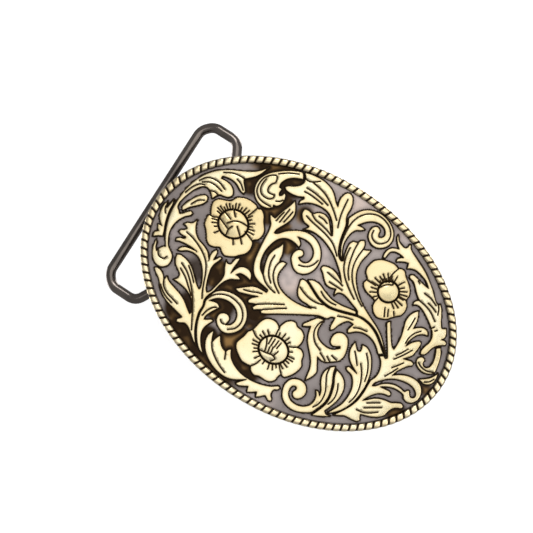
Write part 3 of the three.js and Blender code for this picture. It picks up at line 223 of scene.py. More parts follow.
# Dark patches of old polish and tarnish in the ground: along, up, reach, strength.
TARNISH = [
    (-22.0, 24.0, 5.5, 1.0), (-16.5, 22.5, 4.5, 1.0), (-25.0, 17.0, 3.5, 0.9),
    (-15.5, 16.0, 4.0, 1.0), (-17.5, 12.5, 3.0, 0.9), (-11.5, 6.5, 3.4, 1.0),
    (-9.5, 17.5, 2.6, 0.7), (-12.5, 11.5, 2.6, 0.8), (-9.0, 9.0, 3.0, 0.9),
    (-13.5, -2.5, 5.0, 1.0), (-20.0, -7.0, 4.0, 1.0), (-15.0, -8.0, 4.0, 1.0),
    (-15.0, -13.5, 4.2, 1.0), (-9.5, -9.5, 3.5, 0.9), (-7.0, -19.0, 5.0, 1.0),
    (-1.0, -23.8, 4.5, 0.9), (-13.5, -22.0, 3.5, 1.0), (-8.0, -28.0, 8.0, 0.8),
    (-20.0, -24.5, 6.0, 0.8), (-25.0, -9.0, 4.0, 0.6), (-22.5, -16.5, 3.0, 0.7),
    (-15.5, 2.0, 4.0, 1.0), (-26.0, 24.0, 4.0, 0.7), (-6.3, -12.0, 3.0, 0.7),
    (-7.0, -9.5, 3.5, 1.0), (-6.0, -21.5, 3.5, 1.0), (-14.5, -24.5, 4.0, 1.0),
    (-23.5, -19.5, 4.0, 1.0), (-10.5, -4.5, 3.5, 1.0), (37.5, -12.5, 3.5, 0.7),
    (40.0, -3.0, 2.2, 0.6), (-31.0, 20.5, 3.0, 0.2),
]


# Ground made brighter by wear and by painted highlight: along, up, reach, strength.
WEAR_AND_HIGHLIGHT = [
    (-1.0, 28.4, 5.0, 1.0), (-7.6, 28.4, 4.0, 0.6), (7.0, 27.5, 4.0, 0.7), (14.5, 25.0, 3.5, 0.6),
    (-7.0, 19.8, 2.2, 0.6), (-3.4, 1.6, 3.4, 1.0), (0.8, 8.6, 3.0, 0.7), (-1.5, 11.5, 3.0, 0.6),
    (-36.0, 7.0, 3.0, 0.4), (-30.0, 12.0, 2.5, 0.4), (-4.0, -27.0, 3.0, 0.5),
    (6.0, -27.5, 4.0, 0.4), (2.5, 4.0, 3.0, 0.7), (-31.0, 13.0, 8.0, 0.25),
    (6.0, 18.0, 9.0, 0.25), (-36.0, -4.0, 6.0, 0.25),
]


def bow(x):
    return x * x / (2 * BOW_RADIUS) - BOW_START


def ease(t):
    t = np.clip(t, 0.0, 1.0)
    return t * t * (3 - 2 * t)


def pick_only(obj):
    bpy.ops.object.select_all(action="DESELECT")
    obj.select_set(True)
    bpy.context.view_layer.objects.active = obj


def apply_modifier(obj, kind, **settings):
    modifier = obj.modifiers.new(kind.lower(), kind)
    for key, value in settings.items():
        setattr(modifier, key, value)
    pick_only(obj)
    bpy.ops.object.modifier_apply(modifier=modifier.name)


def mesh_piece(name, points, faces):
    """A new object whose place is in its mesh; points are in millimetres."""
    mesh = bpy.data.meshes.new(name)
    mesh.from_pydata([tuple(p) for p in np.asarray(points) * MM], [], faces)
    mesh.update()
    obj = bpy.data.objects.new(name, mesh)
    bpy.context.scene.collection.objects.link(obj)
    mesh.shade_smooth()
    return obj


def set_mask(obj, name, values):
    layer = obj.data.attributes.new(name, "FLOAT", "POINT")
    layer.data.foreach_set("value", np.asarray(values, dtype=np.float32))


# ---- Outlines and strokes -----------------------------------------------------------------

def curve_between(p0, p1, p2, p3, count):
    """Points from p1 up to p2 on the centripetal curve through the four."""
    t0 = 0.0
    t1 = t0 + max(np.linalg.norm(p1 - p0), 1e-6) ** 0.5
    t2 = t1 + max(np.linalg.norm(p2 - p1), 1e-6) ** 0.5
    t3 = t2 + max(np.linalg.norm(p3 - p2), 1e-6) ** 0.5
    t = np.linspace(t1, t2, count, endpoint=False)[:, None]
    a1 = (t1 - t) / (t1 - t0) * p0 + (t - t0) / (t1 - t0) * p1
    a2 = (t2 - t) / (t2 - t1) * p1 + (t - t1) / (t2 - t1) * p2
    a3 = (t3 - t) / (t3 - t2) * p2 + (t - t2) / (t3 - t2) * p3
    b1 = (t2 - t) / (t2 - t0) * a1 + (t - t0) / (t2 - t0) * a2
    b2 = (t3 - t) / (t3 - t1) * a2 + (t - t1) / (t3 - t1) * a3
    return (t2 - t) / (t2 - t1) * b1 + (t - t1) / (t2 - t1) * b2


def turn_at(before, here, after):
    a, b = here - before, after - here
    return abs(math.degrees(math.atan2(a[0] * b[1] - a[1] * b[0], float(a @ b))))


def front_outlines(node):
    """The outlines of a CAD overlay's front face, smoothed between its sharp corners."""
    bm = bmesh.new()
    bm.from_mesh(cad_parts[node].data)
    bmesh.ops.remove_doubles(bm, verts=bm.verts[:], dist=2e-6)
    links = {}
    for edge in bm.edges:
        facing = [face.normal.y < -0.9 for face in edge.link_faces]
        if len(facing) == 2 and facing.count(True) == 1:
            a, b = edge.verts
            links.setdefault(a.index, []).append(b.index)
            links.setdefault(b.index, []).append(a.index)
    bm.verts.ensure_lookup_table()
    place = {i: np.array((bm.verts[i].co.x, bm.verts[i].co.z)) / MM for i in links}
    bm.free()
    outlines = []
    left = set(links)
    while left:
        first = min(left)
        ring, previous, here = [], None, first
        while here is not None and here in left:
            ring.append(place[here])
            left.discard(here)
            onward = [i for i in links[here] if i != previous and i in left]
            previous, here = here, (onward[0] if onward else None)
        outlines.append(smooth_ring(ring))
    return outlines


def smooth_ring(ring):
    kept = [p for i, p in enumerate(ring)
            if turn_at(ring[i - 1], p, ring[(i + 1) % len(ring)]) > 1.2]
    count = len(kept)
    sharp = [turn_at(kept[i - 1], kept[i], kept[(i + 1) % count]) > 75 for i in range(count)]
    result = []
    for i in range(count):
        p1, p2 = kept[i], kept[(i + 1) % count]
        p0 = 2 * p1 - p2 if sharp[i] else kept[i - 1]
        p3 = 2 * p2 - p1 if sharp[(i + 1) % count] else kept[(i + 2) % count]
        steps = max(1, math.ceil(np.linalg.norm(p2 - p1) / 0.22))
        result.extend(curve_between(p0, p1, p2, p3, steps))
    return np.array(result)


def dense(points, closed, gap):
    """Evenly close points along a line."""
    points = list(points) + ([points[0]] if closed else [])
    result = []
    for a, b in zip(points[:-1], points[1:]):
        steps = max(1, math.ceil(np.linalg.norm(np.subtract(b, a)) / gap))
        result.extend(np.linspace(a, b, steps, endpoint=False))
    result.append(np.array(points[-1]))
    return np.array(result)


def stroke(points):
    points = [np.array(p, dtype=float) for p in points]
    if len(points) < 3:
        return dense(points, False, 0.06)
    padded = [2 * points[0] - points[1]] + points + [2 * points[-1] - points[-2]]
    line = []
    for i in range(1, len(padded) - 2):
        line.extend(curve_between(*padded[i - 1:i + 3], 12))
    line.append(points[-1])
    return dense(line, False, 0.06)


def stamen_strokes():
    for (cx, cz), inner, outer, angles in STAMEN_RINGS:
        for k, angle in enumerate(angles):
            c, s = math.cos(math.radians(angle)), math.sin(math.radians(angle))
            reach = 1.0 if k % 3 else 0.9
            yield [(cx + inner[0] * c, cz + inner[1] * s),
                   (cx + outer[0] * reach * c, cz + outer[1] * reach * s)]


def tree_of(points):
    tree = KDTree(len(points))
    for i, (x, z) in enumerate(points):
        tree.insert((x, 0.0, z), i)
    tree.balance()
    return tree


def distances(tree, points):
    return np.array([tree.find((x, 0.0, z))[2] for x, z in points])


OUTLINES = {name: front_outlines(name) for name in RELIEF_PIECES + BOSSES}
vein_lines = [stroke(v) for v in [*VEINS, *stamen_strokes()]]
vein_tree = tree_of(np.vstack(vein_lines))


# ---- Materials ----------------------------------------------------------------------------

def group_socket(group, name, way, kind, value=None):
    socket = group.interface.new_socket(name, in_out=way, socket_type=kind)
    if value is not None:
        socket.default_value = value
    return socket


def mix_colour(nodes, links, factor, a, b):
    mix = nodes.new("ShaderNodeMix")
    mix.data_type = "RGBA"
    for socket, value in ((mix.inputs[0], factor), (mix.inputs[6], a), (mix.inputs[7], b)):
        if isinstance(value, bpy.types.NodeSocket):
            links.new(value, socket)
        else:
            socket.default_value = value
    return mix.outputs[2]


def math_node(nodes, links, operation, a, b=None, clamp=False):
    node = nodes.new("ShaderNodeMath")
    node.operation = operation
    node.use_clamp = clamp
    for socket, value in zip(node.inputs, (a, b)):
        if isinstance(value, bpy.types.NodeSocket):
            links.new(value, socket)
        elif value is not None:
            socket.default_value = value
    return node.outputs[0]


def noise(nodes, links, vector, scale, detail=3.0, rough=0.5):
    node = nodes.new("ShaderNodeTexNoise")
    node.inputs["Scale"].default_value = scale
    node.inputs["Detail"].default_value = detail
    node.inputs["Roughness"].default_value = rough
    links.new(vector, node.inputs["Vector"])
    return node.outputs["Fac"]


def ramp(nodes, links, value, low, high, smooth=True):
    node = nodes.new("ShaderNodeMapRange")
    node.interpolation_type = "SMOOTHSTEP" if smooth else "LINEAR"
    node.inputs["From Min"].default_value = low
    node.inputs["From Max"].default_value = high
    links.new(value, node.inputs["Value"])
    return node.outputs["Result"]


def make_worn_metal_group():
    """Polished metal: cloudy tone, painted shade in a deeper colour by the edges, fine scuffs,
    dark pits, and painted shade in its recesses.
    """
    group = bpy.data.node_groups.new("worn_metal", "ShaderNodeTree")
    group_socket(group, "Polished", "INPUT", "NodeSocketColor", (0.8, 0.7, 0.4, 1))
    group_socket(group, "Cloudy", "INPUT", "NodeSocketColor", (0.7, 0.6, 0.35, 1))
    group_socket(group, "Shade_Colour", "INPUT", "NodeSocketColor", (0.5, 0.35, 0.1, 1))
    group_socket(group, "Tarnish_and_Shade", "INPUT", "NodeSocketColor", (0.03, 0.02, 0.01, 1))
    group_socket(group, "Recess", "INPUT", "NodeSocketFloat", 0.0)
    group_socket(group, "Shade", "INPUT", "NodeSocketFloat", 0.0)
    group_socket(group, "Smooth", "INPUT", "NodeSocketFloat", 0.3)
    group_socket(group, "Colour", "OUTPUT", "NodeSocketColor")
    group_socket(group, "Roughness", "OUTPUT", "NodeSocketFloat")
    group_socket(group, "Metallic", "OUTPUT", "NodeSocketFloat")
    group_socket(group, "Height", "OUTPUT", "NodeSocketFloat")
    nodes, links = group.nodes, group.links
    inputs = nodes.new("NodeGroupInput")
    outputs = nodes.new("NodeGroupOutput")
    place = nodes.new("ShaderNodeTexCoord").outputs["Object"]
    clouds = ramp(nodes, links, noise(nodes, links, place, 90.0, 3.0), 0.36, 0.68)
    grain = noise(nodes, links, place, 2600.0, 2.0)
    scuffs = ramp(nodes, links, noise(nodes, links, place, 700.0, 4.0, 0.65), 0.56, 0.72)
    pits = ramp(nodes, links, noise(nodes, links, place, 1500.0, 2.0), 0.66, 0.76)
    tone = mix_colour(nodes, links, clouds, inputs.outputs["Polished"], inputs.outputs["Cloudy"])
    # Painted shade: the shade mask turns the tone halfway towards the shade colour by the edges.
    edge = math_node(nodes, links, "MULTIPLY", inputs.outputs["Shade"], 0.5)
    tone = mix_colour(nodes, links, edge, tone, inputs.outputs["Shade_Colour"])
    soot = math_node(nodes, links, "MULTIPLY", pits, 0.16)
    tone = mix_colour(nodes, links, soot, tone, inputs.outputs["Tarnish_and_Shade"])
    # Painted shade in the recesses: the recess mask takes the colour to the dark tarnish colour,
    # rougher and less metallic.
    dark = ramp(nodes, links, inputs.outputs["Recess"], 0.12, 0.75)
    colour = mix_colour(nodes, links, dark, tone, inputs.outputs["Tarnish_and_Shade"])
    links.new(colour, outputs.inputs["Colour"])
    rough = math_node(nodes, links, "MULTIPLY_ADD", scuffs, 0.12)
    links.new(inputs.outputs["Smooth"], rough.node.inputs[2])
    rougher = math_node(nodes, links, "MULTIPLY_ADD", dark, 0.4)
    links.new(rough, rougher.node.inputs[2])
    links.new(rougher, outputs.inputs["Roughness"])
    metallic = math_node(nodes, links, "MULTIPLY_ADD", dark, -0.7)
    metallic.node.inputs[2].default_value = 1.0
    links.new(metallic, outputs.inputs["Metallic"])
    fine = math_node(nodes, links, "MULTIPLY", grain, 0.35)
    height = math_node(nodes, links, "SUBTRACT", fine, scuffs)
    links.new(height, outputs.inputs["Height"])
    return group


worn_metal = make_worn_metal_group()


def mask_value(nodes, name):
    layer = nodes.new("ShaderNodeAttribute")
    layer.attribute_name = name
    return layer.outputs["Fac"]


def metal(name, polished, cloudy, shade_colour, tarnish, smooth, bump=0.08):
    """A worn metal whose recess and shade masks, both painted shade, are kept on the piece's own
    points.
    """
    material = bpy.data.materials.new(name)
    material.use_nodes = True
    nodes, links = material.node_tree.nodes, material.node_tree.links
    shader = nodes["Principled BSDF"]
    shader.inputs["Specular IOR Level"].default_value = 0.2
    group = nodes.new("ShaderNodeGroup")
    group.node_tree = worn_metal
    group.name = "worn_metal"
    # The third colour is the painted shade by the edges; the fourth colours the tarnished pits and
    # the painted shade in the recesses.
    colours = {"Polished": polished, "Cloudy": cloudy, "Shade_Colour": shade_colour, "Tarnish_and_Shade": tarnish}
    for socket, colour in colours.items():
        group.inputs[socket].default_value = (*colour, 1)
    group.inputs["Smooth"].default_value = smooth
    links.new(mask_value(nodes, "recess"), group.inputs["Recess"])
    links.new(mask_value(nodes, "shade"), group.inputs["Shade"])
    links.new(group.outputs["Colour"], shader.inputs["Base Color"])
    links.new(group.outputs["Roughness"], shader.inputs["Roughness"])
    links.new(group.outputs["Metallic"], shader.inputs["Metallic"])
    height = nodes.new("ShaderNodeBump")
    height.inputs["Strength"].default_value = bump
    height.inputs["Distance"].default_value = 0.00006
    links.new(group.outputs["Height"], height.inputs["Height"])
    links.new(height.outputs["Normal"], shader.inputs["Normal"])
    return material


def age_the_ground(material):
    """Bright patches of wear and painted highlight, and dark old polish with painted shade by the
    relief walls and painted light, amber, in the open pockets.
    """
    nodes, links = material.node_tree.nodes, material.node_tree.links
    group = nodes["worn_metal"]
    place = nodes.new("ShaderNodeTexCoord").outputs["Object"]
    blotch = noise(nodes, links, place, 190.0, 2.0, 0.5)
    # Wear and painted highlight: these patches turn both ground colours brighter.
    wear_and_highlight = math_node(nodes, links, "MULTIPLY", mask_value(nodes, "wear_and_highlight"),
                       ramp(nodes, links, blotch, 0.15, 0.6))
    for socket, bright in (("Polished", (0.66, 0.56, 0.53, 1)), ("Cloudy", (0.55, 0.45, 0.40, 1))):
        plain = tuple(group.inputs[socket].default_value)
        links.new(mix_colour(nodes, links, wear_and_highlight, plain, bright), group.inputs[socket])
    swing = math_node(nodes, links, "MULTIPLY_ADD", blotch, 0.3)
    swing.node.inputs[2].default_value = -0.15
    total = math_node(nodes, links, "ADD", mask_value(nodes, "tarnish"), swing)
    old = ramp(nodes, links, total, 0.05, 0.72)
    # Painted light and shade in the old polish: near-black by the relief walls, amber where the
    # pockets open out.
    painted_open_light = math_node(nodes, links, "MULTIPLY", mask_value(nodes, "openness"),
                     ramp(nodes, links, blotch, 0.40, 0.66))
    brown = mix_colour(nodes, links, painted_open_light, (0.026, 0.015, 0.008, 1), (0.26, 0.15, 0.055, 1))
    aged = mix_colour(nodes, links, old, group.outputs["Colour"], brown)
    links.new(aged, nodes["Principled BSDF"].inputs["Base Color"])


# Third colour: painted shade by the edges; fourth: tarnished pits and painted shade in the
# recesses.
relief_brass = metal("relief_brass", (0.90, 0.825, 0.58), (0.85, 0.735, 0.45),
                     (0.56, 0.38, 0.14), (0.050, 0.028, 0.008), 0.27)
rope_brass = metal("rope_brass", (0.96, 0.83, 0.56), (0.92, 0.76, 0.47),
                   (0.58, 0.40, 0.18), (0.030, 0.017, 0.005), 0.30)
petal_brass = metal("petal_brass", (0.83, 0.715, 0.43), (0.77, 0.63, 0.35),
                    (0.56, 0.37, 0.15), (0.050, 0.028, 0.008), 0.27)
ground_silver = metal("ground_silver", (0.305, 0.272, 0.265), (0.235, 0.207, 0.20),
                      (0.14, 0.11, 0.10), (0.034, 0.020, 0.008), 0.38, bump=0.2)
age_the_ground(ground_silver)
back_plating = metal("back_plating", (0.40, 0.37, 0.35), (0.34, 0.31, 0.295),
                     (0.14, 0.12, 0.11), (0.034, 0.028, 0.022), 0.40, bump=0.3)
black_nickel = metal("black_nickel", (0.215, 0.185, 0.165), (0.125, 0.108, 0.098),
                     (0.10, 0.09, 0.08), (0.02, 0.018, 0.016), 0.17, bump=0.12)


def finish_piece(obj, node, body, material):
    obj.data.materials.clear()
    obj.data.materials.append(material)
    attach(obj, body)
    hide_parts(node)
    obj.select_set(False)


# ---- Raised scrollwork --------------------------------------------------------------------

WALL_SLOPE = 0.11
EDGE_ROUND = 0.22
VEIN_DEPTH = 0.30
VEIN_HALF = 0.25
CREST_DROP = 0.20
SAG_DROP = 0.06
SAG_REACH = 1.2
DOME_REACH = 3.2
BOSS_RISE = 0.15
BOSS_DOME = 0.3
BACK_Y = FIELD_Y + 0.04


def inside(outlines, points):
    """Which points lie on the metal: within an odd number of outlines."""
    odd = np.zeros(len(points), dtype=bool)
    x, z = points[:, 0, None], points[:, 1, None]
    for ring in outlines:
        onward = np.roll(ring, -1, axis=0)
        crosses = (ring[:, 1] > z) != (onward[:, 1] > z)
        rise = np.where(onward[:, 1] == ring[:, 1], 1.0, onward[:, 1] - ring[:, 1])
        cut = ring[:, 0] + (onward[:, 0] - ring[:, 0]) * (z - ring[:, 1]) / rise
        odd ^= (np.sum(crosses & (x < cut), axis=1) % 2).astype(bool)
    return odd


def sideways(line, shift, closed):
    ahead = np.roll(line, -1, axis=0) - np.roll(line, 1, axis=0)
    if not closed:
        ahead = np.gradient(line, axis=0)
    ahead = ahead / np.maximum(np.linalg.norm(ahead, axis=1), 1e-9)[:, None]
    return line + shift * np.column_stack((ahead[:, 1], -ahead[:, 0]))


def thinned(points, gap):
    """One point per small cell, the earliest kept."""
    _, first = np.unique(np.round(points / gap).astype(int), axis=0, return_index=True)
    return points[np.sort(first)]


def surface_points(outlines, edge_tree):
    """Points for the top: rows along the edge and the veins, and a loose grid between."""
    rows = [sideways(o, shift, True) for o in outlines
            for shift in (-0.09, 0.09, -0.2, 0.2, -0.34, 0.34)]
    edge_rows = np.vstack(rows)
    edge_rows = edge_rows[inside(outlines, edge_rows)]
    edge_rows = thinned(edge_rows[distances(edge_tree, edge_rows) > 0.075], 0.08)
    cuts = [line[::3] for line in vein_lines]
    cuts += [sideways(line, shift, False)[::3] for line in vein_lines
             for shift in (-0.11, 0.11, -0.18, 0.18, -0.26, 0.26)]
    cuts = np.vstack(cuts)
    cuts = cuts[inside(outlines, cuts)]
    if len(cuts):
        cuts = thinned(cuts[distances(edge_tree, cuts) > 0.075], 0.07)
    placed = np.vstack([edge_rows, cuts])
    low, high = outlines[0].min(axis=0), outlines[0].max(axis=0)
    x, z = np.meshgrid(np.arange(low[0], high[0], 0.45), np.arange(low[1], high[1], 0.45))
    loose = np.column_stack((x.ravel(), z.ravel()))
    loose = loose[inside(outlines, loose)]
    loose = loose[distances(edge_tree, loose) > 0.45]
    if len(loose):
        loose = loose[distances(tree_of(placed), loose) > 0.28]
    return np.vstack([placed, loose])


def relief_mesh(name, outlines, shape_top, back):
    """A closed piece: a triangulated top, walls that slope out to the ground, and a back."""
    edge_tree = tree_of(np.vstack([dense(o, True, 0.05) for o in outlines]))
    rim = np.vstack(outlines)
    links, start = [], 0
    for ring in outlines:
        count = len(ring)
        links += [(start + i, start + (i + 1) % count) for i in range(count)]
        start += count
    seeds = [Vector(p) for p in np.vstack([rim, surface_points(outlines, edge_tree)])]
    places, _, triangles, *_ = delaunay_2d_cdt(seeds, links, [], 4, 1e-5)
    flat = np.array([tuple(p) for p in places])
    if len(outlines) > 1:
        middles = flat[np.array([tuple(t) for t in triangles])].mean(axis=1)
        on_metal = inside(outlines, middles)
        triangles = [t for t, kept in zip(triangles, on_metal) if kept]
    steps = {}
    for a, b, c in triangles:
        for pair in ((a, b), (b, c), (c, a)):
            steps[pair] = True
    border = [(a, b) for a, b in steps if (b, a) not in steps]
    to_edge = distances(edge_tree, flat)
    on_border = sorted({a for a, _ in border})
    to_edge[on_border] = 0.0
    to_vein = distances(vein_tree, flat)
    top_y = shape_top(to_edge, to_vein)
    away = np.zeros_like(flat)
    for a, b in border:
        run = flat[b] - flat[a]
        out = np.array((run[1], -run[0])) / max(np.linalg.norm(run), 1e-9)
        away[a] += out
        away[b] += out
    push = away[on_border]
    push /= np.maximum(np.linalg.norm(push, axis=1), 1e-6)[:, None]
    foot = flat[on_border] + WALL_SLOPE * push
    count = len(flat)
    under = flat.copy()
    under[on_border] = foot
    points = np.vstack([
        np.column_stack((flat[:, 0], top_y, flat[:, 1])),
        np.column_stack((under[:, 0], np.full(count, back), under[:, 1])),
    ])
    points[:, 1] += bow(points[:, 0])
    faces = [tuple(t) for t in triangles]
    faces += [(c + count, b + count, a + count) for a, b, c in triangles]
    faces += [(b, a, count + a, count + b) for a, b in border]
    obj = mesh_piece(name, points, faces)
    bm = bmesh.new()
    bm.from_mesh(obj.data)
    bmesh.ops.recalc_face_normals(bm, faces=bm.faces[:])
    bm.to_mesh(obj.data)
    bm.free()
    # Painted shade on the relief: dark in the veins, along the edges, and over the walls and back;
    # a deeper colour in a wider band by the edges and veins.
    recess = np.maximum(1 - ease((to_vein - 0.12) / 0.15), 1 - ease((to_edge - 0.05) / 0.16))
    set_mask(obj, "recess", np.concatenate((recess, np.ones(count))))
    shade = 1 - ease((np.minimum(to_edge, to_vein + 0.1) - 0.15) / 0.45)
    set_mask(obj, "shade", np.concatenate((shade, np.ones(count))))
    obj.data.shade_smooth()
    return obj


def relief_piece(node, brass, front=RELIEF_Y, dome=0.0):
    def shape_top(to_edge, to_vein):
        t = np.clip(to_edge / EDGE_ROUND, 0, 1)
        drop = CREST_DROP * (1 - np.sqrt(1 - (1 - t) ** 2))
        drop += VEIN_DEPTH * (1 - ease(to_vein / VEIN_HALF))
        drop += SAG_DROP * (1 - ease(to_edge / SAG_REACH))
        return front + drop + dome * (1 - ease(to_edge / DOME_REACH))

    obj = relief_mesh(f"{node}_relief", OUTLINES[node], shape_top, BACK_Y)
    finish_piece(obj, node, "plate", brass)


deeper_toned = ("flower_left", "flower_right", "flower_left_boss", "flower_right_boss")
for piece_name in RELIEF_PIECES:
    relief_piece(piece_name, petal_brass if piece_name in deeper_toned else relief_brass)
for piece_name in BOSSES:
    relief_piece(piece_name, petal_brass if piece_name in deeper_toned else relief_brass,
                 front=RELIEF_Y - BOSS_RISE, dome=BOSS_DOME)


# ---- Plate --------------------------------------------------------------------------------

def oval_points(a, b, count):
    turn = np.linspace(0, 2 * math.pi, count, endpoint=False)
    return np.column_stack((a * np.cos(turn), b * np.sin(turn)))


def spots(flat, places):
    """Soft round patches, the strongest kept where they overlap."""
    total = np.zeros(len(flat))
    for x, z, reach, strength in places:
        away = np.hypot(flat[:, 0] - x, flat[:, 1] - z)
        total = np.maximum(total, strength * (1 - ease((away - reach * 0.4) / reach)))
    return total


def plate_piece():
    """One closed shell: the front ground in fine rings, the stepped rim, and the back."""
    around = 720
    field_a, field_b = HALF_LENGTH - SEAT_WIDTH, HALF_HEIGHT - SEAT_WIDTH
    rings = [(field_a * t, field_b * t, FIELD_Y) for t in np.linspace(0.01, 0.995, 100)]
    a, b = HALF_LENGTH, HALF_HEIGHT
    rings += [
        (field_a, field_b, FIELD_Y + 0.05),
        (field_a + 0.05, field_b + 0.05, RIM_Y - 0.05),
        (field_a + 0.1, field_b + 0.1, RIM_Y),
        (a - 0.3, b - 0.3, RIM_Y),
        (a - 0.08, b - 0.08, RIM_Y + 0.07),
        (a, b, RIM_Y + 0.3),
        (a, b, -0.3),
        (a - 0.08, b - 0.08, -0.07),
        (a - 0.3, b - 0.3, 0.0),
    ]
    rim_rings = len(rings) - 4
    rings += [(a * t, b * t, 0.0) for t in (0.9, 0.75, 0.6, 0.45, 0.3, 0.15, 0.02)]
    points = []
    for ring_a, ring_b, y in rings:
        oval = oval_points(ring_a, ring_b, around)
        points.append(np.column_stack((oval[:, 0], np.full(around, y), oval[:, 1])))
    points = np.vstack(points + [[(0, FIELD_Y, 0)], [(0, 0.0, 0)]])
    faces = []
    for r in range(len(rings) - 1):
        for i in range(around):
            j = (i + 1) % around
            here, there = r * around, (r + 1) * around
            faces.append((here + i, there + i, there + j, here + j))
    first_back_face, last_back_face = rim_rings * around, len(faces)
    front_pole, back_pole = len(rings) * around, len(rings) * around + 1
    last = (len(rings) - 1) * around
    for i in range(around):
        j = (i + 1) % around
        faces.append((front_pole, i, j))
        faces.append((back_pole, last + j, last + i))
    flat = points[:, [0, 2]]
    edges = [dense(o, True, 0.15) for name in RELIEF_PIECES for o in OUTLINES[name]]
    edges.append(dense(oval_points(field_a + 0.22, field_b + 0.22, 360), True, 0.15))
    gap = distances(tree_of(np.vstack(edges)), flat)
    on_front = points[:, 1] < (FIELD_Y + RIM_Y) / 2
    in_seat = ~on_front & (points[:, 1] < RIM_Y + 0.05)
    # Painted shade on the ground: dark next to the relief outlines and in the rope's seat, with a
    # deeper colour in a wider band by the outlines.
    recess = np.where(on_front, 1 - ease((gap - 0.15) / 0.24), np.where(in_seat, 1.0, 0.0))
    masks = {
        "recess": recess,
        "shade": np.where(on_front, 0.7 * (1 - ease((gap - 0.3) / 0.8)), 0.0),
        "tarnish": np.where(on_front, spots(flat, TARNISH), 0.0),
        # Wear and painted highlight on the ground.
        "wear_and_highlight": np.where(on_front, spots(flat, WEAR_AND_HIGHLIGHT), 0.0),
        "openness": np.where(on_front, ease((gap - 0.35) / 1.2), 0.0),
    }
    points[:, 1] += bow(points[:, 0])
    obj = mesh_piece("plate_body", points, faces)
    for mask_name, values in masks.items():
        set_mask(obj, mask_name, values)
    finish_piece(obj, "base_plate", "plate", ground_silver)
    obj.data.materials.append(back_plating)
    on_back = np.zeros(len(obj.data.polygons), dtype=np.int32)
    on_back[first_back_face:last_back_face] = 1
    on_back[-1::-2][:around] = 1
    obj.data.polygons.foreach_set("material_index", on_back)
    return obj


plate_piece()


# ---- Rope edge ----------------------------------------------------------------------------

def rope_piece():
    """A twisted rope ring: each strand is a rounded pad between slanted gaps, with painted shade
    in the gaps and on the rope's sides and back.
    """
    radius = ROPE_RADIUS
    fine = oval_points(ROPE_HALF_LENGTH, ROPE_HALF_HEIGHT, 4000)
    steps = np.linalg.norm(np.roll(fine, -1, axis=0) - fine, axis=1)
    run = np.concatenate(([0.0], np.cumsum(steps)))
    closed = np.vstack([fine, fine[:1]])
    total = run[-1]
    strands = round(total / ROPE_PITCH)
    pitch = total / strands
    per_strand, sides = 18, 28
    count = strands * per_strand
    s = np.arange(count) * total / count
    centre = np.column_stack([np.interp(s, run, closed[:, k]) for k in (0, 1)])
    ahead = np.roll(centre, -1, axis=0) - np.roll(centre, 1, axis=0)
    ahead /= np.linalg.norm(ahead, axis=1)[:, None]
    outward = np.column_stack((ahead[:, 1], -ahead[:, 0]))
    turn = 2 * math.pi * np.arange(sides) / sides
    lean = ROPE_LEAN * radius * np.cos(turn)
    share = ((s[:, None] + lean[None, :]) / pitch) % 1.0
    from_middle = np.abs(2 * share - 1)
    squarer = (np.abs(np.cos(turn)) ** 2.8 + np.abs(np.sin(turn)) ** 2.8) ** (-1 / 2.8)
    size = radius * squarer * (0.66 + 0.34 * (1 - from_middle ** 3.0) ** 0.6)
    x = centre[:, 0, None] + outward[:, 0, None] * size * np.cos(turn)
    z = centre[:, 1, None] + outward[:, 1, None] * size * np.cos(turn)
    y = RIM_Y - ROPE_GAP - radius - size * np.sin(turn) + bow(x)
    points = np.stack((x, y, z), axis=2).reshape(-1, 3)
    faces = []
    for i in range(count):
        here, there = i * sides, ((i + 1) % count) * sides
        for j in range(sides):
            k = (j + 1) % sides
            faces.append((here + j, there + j, there + k, here + k))
    obj = mesh_piece("rope_edge", points, faces)
    front = np.sin(turn)[None, :] * np.ones_like(size)
    # Painted shade: dark in the gaps between strands and where the rope turns away from the front,
    # and a deeper colour spreading wider round them.
    recess = np.maximum(ease((from_middle - 0.60) / 0.2), 1 - ease((front + 0.02) / 0.3))
    set_mask(obj, "recess", recess.ravel())
    shade = np.maximum(ease((from_middle - 0.4) / 0.5), 1 - ease((front - 0.1) / 0.4))
    set_mask(obj, "shade", shade.ravel())
    finish_piece(obj, "rope_border", "plate", rope_brass)


rope_piece()


# ---- Strap loop ---------------------------------------------------------------------------

WIRE_RADIUS = 1.3
WIRE_SIDES = 28
BEND_REACH = 2.08
HINGE = np.array((-27.0, 5.2182))
LOOP_TILT = math.radians(17)
LOOP_CORNERS = [(0, 3.5), (0, 11.1), (7.3, 24.2), (14.7, 24.2), (17.3, 21.6)]


def eased_path(corners, reach):
    """Straight runs with a round bend at each corner."""
    path = [corners[0]]
    for before, corner, after in zip(corners[:-2], corners[1:-1], corners[2:]):
        back_off = min(reach, 0.45 * np.linalg.norm(corner - before),
                       0.45 * np.linalg.norm(after - corner))
        start = corner + (before - corner) / np.linalg.norm(before - corner) * back_off
        end = corner + (after - corner) / np.linalg.norm(after - corner) * back_off
        for t in np.linspace(0, 1, 11):
            path.append((1 - t) ** 2 * start + 2 * t * (1 - t) * corner + t * t * end)
    path.append(corners[-1])
    return np.array(path)


